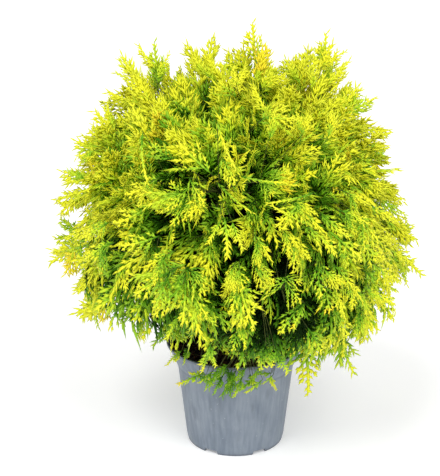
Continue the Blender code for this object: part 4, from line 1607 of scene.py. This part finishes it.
@dataclass
class Foliage:
    """The sprays of every mass, and the twigs that carry them."""

    sight: Sight
    shape: CrownShape
    limbs: Limbs
    layers: tuple[Layer, ...]
    variants: int = 10
    tries: int = 12
    lowest: float = math.radians(-62)
    side_angle: float = math.radians(33)
    side_turn: float = 0.14
    side_lift: Span = (-0.18, 0.14)
    side_roll: float = 0.22
    side_lengths: Span = (0.68, 0.92)
    side_first: float = 0.012
    side_step: float = 0.017
    side_shade: Span = (-0.22, 0.02)
    stem: Rod = Rod((0.0021, 0.0012), 9, 6)
    stem_joint: float = 0.004
    stem_handle: float = 0.15
    branch: Rod = Rod((0.0017, 0.0009), 8, 5)
    branch_count: int = 150
    branch_share: float = 0.70
    branch_lengths: Span = (0.85, 1.05)
    branch_heights: Span = (-0.80, 1.79)
    branch_handle: float = 0.03
    forks: int = 7
    twig: Rod = Rod((0.0007, 0.0004), 5, 3)
    twig_sag: float = 0.12
    # crown_light and side_light paint light on the crown's top and its left and right sides;
    # skirt_shade paints shade low on the skirt.
    crown_light: float = 0.26
    skirt_shade: float = 0.21
    side_light: float = 0.14
    fans_below: float = 0.42
    fans_blur: float = 0.15
    light_bias: float = 0.06
    rise_spread: float = 14.0
    turn_spread: float = 0.34
    least_droop: float = 0.08
    most_droop: float = 0.55
    droop: Span = (0.30, 0.25)
    top_stiff: float = 0.6
    low_droop: float = 0.12
    low_looks_up: float = 0.3
    look_turn: float = math.radians(70)
    look_up: float = 0.5
    most_shrink: float = 0.40
    limit: float = 0.98
    beyond_layer: float = 0.09
    patch: float = 0.16
    patch_scale: float = 5.0
    hollow_depth: float = 0.74
    hollow_share: float = 0.04
    amber_chance: float = 0.04
    tone_chance: float = 0.06
    depth_middle: float = 0.88
    depth_most: float = 1.02
    set_light: float = 0.10
    set_turn: float = 0.22
    mostly: float = 0.97
    seed: int = 11

    def aim(self, way: np.ndarray, dice: random.Random) -> np.ndarray:
        """Where a frond points: up on the crown's top, out and ever lower down its sides.

        Args:
            way: the direction of the frond's place from the heart.
            dice: the source of its chances.

        Returns:
            Its direction.
        """
        rise = np.interp(way[2], *zip(*FLOW)) + either_way(dice, 1.0) * self.rise_spread
        turn = either_way(dice, 1.0) * self.turn_spread
        flat = way[:2] / np.linalg.norm(way[:2])
        side = np.array([-flat[1], flat[0]])
        out = flat * math.cos(turn) + side * math.sin(turn)
        return np.array([*(out * math.cos(math.radians(rise))), math.sin(math.radians(rise))])

    def light_at(self, way: np.ndarray) -> float:
        """How much lighter fronds are dealt on top, to the left and right, and in patches: partly
        the gold that well-lit fronds really grow, partly painted light on the top and sides and
        painted shade low on the skirt.

        Args:
            way: the direction of their place from the heart.

        Returns:
            What is added to their exposure.
        """
        patch = self.patch * noise.noise(Vector(way * self.patch_scale))
        rise = self.crown_light * max(way[2], 0.0) + self.skirt_shade * min(way[2], 0.0)
        return float(self.light_bias + rise + patch + self.side_light * abs(way[0]) ** 3)

    def look(self, way: np.ndarray, up: float, dice: random.Random) -> np.ndarray:
        """Where a frond's face looks: out of the crown, turned to a side and up by chance.

        Args:
            way: the direction of the frond's place from the heart.
            up: the least that it is turned up by.
            dice: the source of its chances.

        Returns:
            Its direction, at no set length.
        """
        turn = dice.uniform(0.0, self.look_turn) * dice.choice((-1, 1))
        around = unit(np.array([-way[1], way[0], 1e-3]))
        lift = [0, 0, dice.uniform(up, up + self.look_up)]
        return way * math.cos(turn) + around * math.sin(turn) + lift

    def wanted(self, layer: Layer) -> list[np.ndarray]:
        """A layer's tips, evenly over the crown's surface.

        Args:
            layer: the layer.

        Returns:
            The places on the crown's outline.
        """
        tips = []
        dice = random.Random(f"{self.seed} {layer.name} tips")
        low = math.sin(self.lowest)
        for k in range(layer.asked):
            height = low + (1.0 - low) * (k + 0.5) / layer.asked
            way = direction(k * GOLDEN_ANGLE + layer.offset, math.asin(height))
            if dice.random() < (self.shape.reach(way) / self.shape.reach_up) ** 2:
                tips.append(self.shape.at(way, 1.0))
        return tips

    def spray(self, pattern: SprayPattern, tip: np.ndarray, along: np.ndarray, shows: np.ndarray,
              length: float, droop: float, exposure: float, dice: random.Random) -> Spray:
        """A spray whose heavier side hangs lower.

        Args:
            pattern: what it is like.
            tip: where its tip is.
            along: the direction from its foot to its tip.
            shows: roughly where its face looks.
            length: its length.
            droop: how far it bends, in radians.
            exposure: how light its tones are, from 0 to 1: partly the gold that it has grown in
                the light, partly painted light and shade.
            dice: the source of its chances.

        Returns:
            The spray.
        """
        face = unit(shows - along * shows.dot(along))
        lower = int(np.cross(face, along)[2] > 0)
        number = 2 * dice.randrange(self.variants // 2) + lower
        return Spray(pattern, number, tip, along, face, length, dice.uniform(0.85, 1.15), droop,
                     exposure)

    def corners(self, spray: Spray) -> np.ndarray:
        """The corners of a spray's fingers where it hangs."""
        return spray.placed(self.grown[spray.pattern.name][spray.number][0])

    def fits(self, spray: Spray, limit: float) -> bool:
        """Tells whether there is room for a spray.

        Args:
            spray: the spray.
            limit: the share of the crown's reach that it may fill, but for a few points.

        Returns:
            True if it keeps in the crown, clear of the pot and out of the hollows.
        """
        points = self.corners(spray).reshape(-1, 3)
        shares = self.shape.share(points)
        inside = np.quantile(shares, self.mostly) < limit
        free = self.shape.in_open_air(points) and not self.in_hollow(points, shares)
        return bool(inside) and free

    def in_hollow(self, points: np.ndarray, shares: np.ndarray) -> bool:
        """Tells whether a spray's points would fill one of the crown's hollows.

        Args:
            points: the points, one a row.
            shares: how far out each is.

        Returns:
            True if more than a few of them would.
        """
        outer = points[shares > self.hollow_depth]
        if not len(outer):
            return False
        near = unit(outer - self.shape.heart) @ self.hollow_ways.T > self.hollow_cosines
        return bool(near.any(axis=1).mean() > self.hollow_share)

    def side_sprays(self, first: Spray, pattern: SprayPattern, counts: tuple[int, int],
                    dice: random.Random) -> list[Spray]:
        """The sprays at the sides of a frond's first one, by turns and in its plane.

        Args:
            first: the spray at the frond's tip.
            pattern: what they are like.
            counts: the least and the most of them.
            dice: the source of its chances.

        Returns:
            The sprays that it is given, nearest the tip first.
        """
        made = []
        across = unit(np.cross(first.face, first.along))
        start = first.root
        side = dice.choice((-1, 1))
        for k in range(dice.randint(*counts)):
            turn = side * (self.side_angle + either_way(dice, self.side_turn))
            along = first.along * math.cos(turn) + across * math.sin(turn)
            along = unit(along + first.face * dice.uniform(*self.side_lift))
            shows = first.face + across * either_way(dice, self.side_roll)
            length = first.length * dice.uniform(*self.side_lengths)
            tip = start + first.along * (self.side_first - self.side_step * k) + along * length
            # Painted shade: side sprays are dealt darker tones than the spray they hang beside.
            exposure = first.exposure + dice.uniform(*self.side_shade)
            made.append(self.spray(pattern, tip, along, shows, length, first.droop, exposure,
                                   dice))
            side = -side
        return made

    def frond(self, tip: np.ndarray, layer: Layer, dice: random.Random) -> list[Spray]:
        """Finds room for a frond that ends near a tip.

        Args:
            tip: the tip on the crown's outline.
            layer: the layer that it belongs to.
            dice: the source of its chances.

        Returns:
            Its sprays, the one at its tip first, or none if it has no room.
        """
        way = unit(tip - self.shape.heart)
        low = way[2] < self.fans_below + either_way(dice, self.fans_blur)
        main, side = layer.main, layer.side
        if low:
            flank = dice.random() < np.interp(way[2], *zip(*FLANK_SHARES))
            main = side = layer.flank if flank else layer.low
        counts = layer.low_sprays if low else layer.side_sprays
        limit = min(self.limit, layer.shares[1] + self.beyond_layer)
        # Painted light and shade: fronds on top and at the sides are dealt lighter tones, low ones
        # darker tones.
        exposure = dice.uniform(*layer.exposures) + self.light_at(way) - layer.low_shade * low
        for attempt in range(self.tries):
            shrink = 1 - self.most_shrink * attempt / self.tries
            along = self.aim(way, dice)
            end = self.shape.heart + (tip - self.shape.heart) * dice.uniform(*layer.shares)
            bend = min(abs(dice.gauss(*self.droop)), self.most_droop)
            droop = (self.least_droop + bend * (1.0 - self.top_stiff * max(way[2], 0))
                     + self.low_droop * low)
            shows = self.look(way, self.low_looks_up * low, dice)
            length = dice.uniform(*layer.lengths) * shrink
            first = self.spray(main, end, along, shows, length, droop, exposure, dice)
            if self.fits(first, limit):
                sides = self.side_sprays(first, side, counts, dice)
                return [first, *[spray for spray in sides if self.fits(spray, limit)]]
        return []

    def set_places(self) -> list[tuple[np.ndarray, np.ndarray, str]]:
        """Works out the fronds that have a set place.

        Returns:
            The place of each one's tip and foot, and its habit.
        """
        on_plane, in_crown, sunk = self.sight.on_plane, self.sight.in_crown, self.sight.sunk
        tips, feet = FRONT_SINKS
        made = [(on_plane(*tip), on_plane(*foot), habit) for tip, foot, habit in OUTLINE_PLUMES]
        made += [(sunk(in_crown(*tip), *tips), sunk(in_crown(*foot), *feet), habit)
                 for tip, foot, habit in FRONT_FRONDS]
        made += [(in_crown(*tip, tip_depth), in_crown(*foot, foot_depth), habit)
                 for tip_depth, foot_depth, rows in LIT_FRONDS for tip, foot, habit in rows]
        made += [(on_plane(*tip), on_plane(*foot), habit) for tip, foot, habit in COLLAR_FRONDS]
        return made

    def dig_hollows(self) -> None:
        """Works out the directions of the hollows and dents, and how wide each is."""
        made = [(self.sight.in_crown(x, y, depth), round(radius * PIXEL_SIZE))
                for x, y, depth, radius in HOLLOWS]
        made += [(self.sight.on_plane(x, y, plane), radius)
                 for planes, rows in DENTS for x, y, radius in rows for plane in planes]
        away = np.array([middle for middle, _ in made]) - self.shape.heart
        radii = np.array([radius for _, radius in made]) / MILLIMETRES
        self.hollow_ways = unit(away)
        self.hollow_cosines = np.cos(radii / np.linalg.norm(away, axis=1))

    def set_frond(self, tip: np.ndarray, foot: np.ndarray, habit: Habit,
                  dice: random.Random) -> list[Spray]:
        """A frond that has a set place.

        Args:
            tip: where its tip is.
            foot: where its foot is.
            habit: what it is like.
            dice: the source of its chances.

        Returns:
            Its sprays, the one at its tip first, but for those that would touch the pot.
        """
        length = float(np.linalg.norm(tip - foot))
        shows = FRONT + np.array([dice.gauss(0, self.set_turn) for _ in range(3)])
        exposure = habit.exposure + either_way(dice, self.set_light)
        exposure += self.light_at(unit(foot - self.shape.heart))
        first = self.spray(habit.main, tip, (tip - foot) / length, shows, length, habit.droop,
                           exposure, dice)
        sides = self.side_sprays(first, habit.main, habit.side_sprays, dice)
        return [spray for spray in (first, *sides)
                if self.shape.in_open_air(self.corners(spray).reshape(-1, 3))]

    def nearest_mass(self, way: np.ndarray) -> int:
        """The number of the mass that a direction from the heart belongs to."""
        return int(np.argmax(self.axes @ way))

    def keep(self, sprays: list[Spray], way: np.ndarray, dice: random.Random) -> None:
        """Deals out a frond's sprays and notes their feet for the twigs.

        Args:
            sprays: the sprays.
            way: the direction of the frond's place from the heart.
            dice: the source of their chances.
        """
        mass = self.nearest_mass(way)
        for spray in sprays:
            self.deal(spray, self.masses[mass].tier, dice)
        if sprays:
            self.roots[mass].append([spray.root for spray in sprays])

    def grow_fronds(self) -> None:
        """Grows the fronds that have a set place and then every layer."""
        dice = random.Random(f"{self.seed} set")
        for tip, foot, habit in self.set_places():
            sprays = self.set_frond(tip, foot, HABITS[habit], dice)
            if sprays:
                self.keep(sprays, unit(sprays[0].root - self.shape.heart), dice)
        for layer in self.layers:
            dice = random.Random(f"{self.seed} {layer.name}")
            count = 0
            for tip in self.wanted(layer):
                sprays = self.frond(tip, layer, dice)
                self.keep(sprays, unit(tip - self.shape.heart), dice)
                count += len(sprays)
            LOG.info("%s layer: %d sprays", layer.name, count)

    def deal(self, spray: Spray, tier: Tier, dice: random.Random) -> None:
        """Gives each finger of a spray to the bundle of its tone.

        Args:
            spray: the spray.
            tier: the tier that the spray belongs to.
            dice: the source of its chances.
        """
        corners = self.corners(spray)
        ages = self.grown[spray.pattern.name][spray.number][1]
        depth = np.minimum(self.shape.share(corners[:, RIDGE]), self.depth_most)
        chance = np.array([either_way(dice, self.tone_chance) for _ in ages])
        pattern = spray.pattern
        # Painted shade: the deeper a finger lies in the crown, the darker its tone.
        values = spray.exposure + pattern.depth_shade * (depth - self.depth_middle) + chance
        values += pattern.contrast * (ages - 0.50)
        chosen = np.searchsorted([limit for limit, _ in TONE_STEPS], values)
        amber = dice.random() < self.amber_chance
        for step in np.unique(chosen):
            finish = TONE_STEPS[int(step)][1]
            if finish is Tone.GOLD and amber:
                finish = Tone.AMBER
            picked = corners[chosen == step]
            firsts = (RIDGE + 1) * np.arange(len(picked))
            faces = (FINGER_FACES[None] + firsts[:, None, None]).reshape(-1, 3)
            self.bundles.setdefault((tier, finish), Bundle()).add(picked.reshape(-1, 3), faces)

    def grow_branches(self, number: int, dice: random.Random) -> np.ndarray:
        """Grows a mass's stem and branches.

        Args:
            number: the mass's number.
            dice: the source of their chances.

        Returns:
            The points that twigs may start from.
        """
        mass = self.masses[number]
        bough = self.limbs.bough_path(mass)
        heading = unit(bough[-1] - bough[-2])
        reach = self.shape.reach(mass.axis)
        stem = bezier([bough[-1] - heading * self.stem_joint,
                       bough[-1] + heading * reach * self.stem_handle,
                       self.shape.at(mass.axis, self.shape.stem_ends)], self.stem.points)
        self.wood.add(*self.stem.along(stem))
        paths = [stem]
        low, rise = self.branch_heights
        for k in range(self.branch_count):
            height = low + rise * (k + 0.5) / self.branch_count
            way = direction(k * GOLDEN_ANGLE, math.asin(height))
            end = self.shape.at(way, self.branch_share * dice.uniform(*self.branch_lengths))
            if self.nearest_mass(way) != number or not self.shape.in_open_air(end[None]):
                continue
            fork = stem[dice.randrange(self.forks)]
            handle = fork + heading * self.branch_handle
            branch = bezier([fork, handle, end], self.branch.points)
            self.wood.add(*self.branch.along(branch))
            paths.append(branch)
        return np.concatenate(paths)

    def grow_twigs(self) -> None:
        """Grows each mass's branches, and the twigs from them to the fronds and their sprays."""
        dice = random.Random(f"{self.seed} twigs")
        for number in range(len(self.masses)):
            hubs = self.grow_branches(number, dice)
            for roots in self.roots[number]:
                gaps = np.linalg.norm(hubs - roots[-1], axis=1)
                start = hubs[int(np.argmin(gaps))]
                sag = np.array([0.0, 0.0, self.twig_sag * gaps.min()])
                middle = (start + roots[-1]) / 2 + sag
                path = bezier([start, middle, roots[-1]], self.twig.points)
                path = np.concatenate([path, roots[-2::-1]]) if len(roots) > 1 else path
                self.twigs.add(*self.twig.along(path))

    def build(self, masses: list[Mass]) -> None:
        """Grows the foliage, and joins and dresses its pieces.

        Args:
            masses: the masses that it takes the place of.
        """
        self.masses = masses
        self.axes = np.array([mass.axis for mass in masses])
        self.dig_hollows()
        self.roots: list[list[list[np.ndarray]]] = [[] for _ in masses]
        self.bundles: dict[tuple[Tier, Tone], Bundle] = {}
        self.wood = Bundle()
        self.twigs = Bundle()
        used = {habit.main for habit in HABITS.values()}
        for layer in self.layers:
            used |= {layer.main, layer.side, layer.low, layer.flank}
        self.grown = {pattern.name: [pattern.grow(k) for k in range(self.variants)]
                      for pattern in used}
        self.grow_fronds()
        self.grow_twigs()
        finishes = {tone: tone.value.material() for tone in Tone}
        for tier in Tier:
            nodes = [mass.node for mass in masses if mass.tier is tier]
            for tone in Tone:
                if (tier, tone) in self.bundles:
                    name = f"{tone.value.name}_{tier.name.lower()}"
                    dress(self.bundles[tier, tone].piece(name), finishes[tone], "foliage", *nodes)
        every = [mass.node for mass in masses]
        bark = TWIG_BARK.material()
        dress(self.wood.piece("branch_wood"), bark, "bark", *every)
        dress(self.twigs.piece("twig_wood"), bark, "bark", *every)


# ---------------------------------------------------------------- studio


@dataclass
class Studio:
    """The pale floor, the soft lights and the camera."""

    sight: Sight
    sensor: float = 24.0
    world_strength: float = 0.50
    floor_size: float = 90.0
    lights: tuple[tuple[str, Triple, float, float], ...] = (
        ("left", (-1.2, -1.5, 2.5), 30.0, 1.6), ("right", (1.3, -1.6, 2.3), 36.0, 1.4))

    def camera(self) -> None:
        """Stands the camera where it looks down on the plant a little."""
        lens = bpy.data.cameras.new("studio_camera")
        lens.sensor_fit = "VERTICAL"
        lens.sensor_height = self.sensor
        lens.lens = self.sight.focal_pixels / self.sight.frame_size[1] * self.sensor
        stand = bpy.data.objects.new("studio_camera", lens)
        bpy.context.scene.collection.objects.link(stand)
        stand.location = self.sight.eye
        stand.rotation_euler = (math.pi / 2 - self.sight.pitch, 0.0, self.sight.yaw)
        bpy.context.scene.camera = stand

    def light(self, name: str, place: Triple, softness: float, power: float) -> None:
        """A wide, far soft light that faces the crown.

        Args:
            name: its name.
            place: the direction that it comes from.
            softness: how wide it looks from the crown, in degrees.
            power: its strength, in watts a square metre.
        """
        lamp = bpy.data.lights.new(name, "SUN")
        lamp.angle = math.radians(softness)
        lamp.energy = power
        stand = bpy.data.objects.new(name, lamp)
        bpy.context.scene.collection.objects.link(stand)
        stand.location = place
        stand.rotation_euler = Vector(place).to_track_quat("Z", "Y").to_euler()

    def floor(self) -> None:
        """A wide pale floor."""
        deselect_all()
        bpy.ops.mesh.primitive_plane_add(size=self.floor_size, location=(0, 0, 0))
        floor = bpy.context.object
        floor.name = "studio_floor"
        floor.data.materials.append(FloorFinish().material())

    def build(self) -> None:
        """Sets the studio up."""
        scene = bpy.context.scene
        world = bpy.data.worlds.new("studio")
        world.use_nodes = True
        backdrop = world.node_tree.nodes["Background"]
        backdrop.inputs["Color"].default_value = (1.0, 1.0, 1.0, 1.0)
        backdrop.inputs["Strength"].default_value = self.world_strength
        scene.world = world
        scene.view_settings.view_transform = "Standard"
        self.floor()
        for name, place, softness, power in self.lights:
            self.light(name, place, softness, power)
        self.camera()


LAYERS = (
    Layer("outer", 520, (0.84, 0.96), (0.080, 0.108), (0.50, 1.00), (3, 5), (1, 3), FULL_SPRAY,
          SIDE_SPRAY, FAN, FEATHER, 0.02, 0.0),
    Layer("middle", 640, (0.74, 0.88), (0.074, 0.096), (0.34, 0.74), (0, 1), (0, 1), SIDE_SPRAY,
          SIDE_SPRAY, FAN, FEATHER, 0.10, 1.0),
    # The inner layer's low exposures deal it the darkest tones: painted shade for the crown's
    # inside.
    Layer("inner", 700, (0.48, 0.76), (0.080, 0.110), (0.20, 0.44), (0, 0), (0, 0), INNER_SPRAY,
          INNER_SPRAY, INNER_SPRAY, INNER_SPRAY, 0.02, 2.0),
)


def write_sizes() -> None:
    """Brings the scene's placements up to date."""
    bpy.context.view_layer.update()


def main() -> None:
    """Builds and dresses the plant, its pot and the studio."""
    logging.basicConfig(level=logging.INFO, format="%(message)s")
    shape = CrownShape()
    sight = Sight(shape)
    Studio(sight).build()
    masses = shape.masses()
    Pot().build()
    PottingMix().build()
    limbs = Limbs(shape)
    limbs.build(masses)
    Foliage(sight, shape, limbs, LAYERS).build(masses)
    write_sizes()


if __name__ == "__main__":
    main()
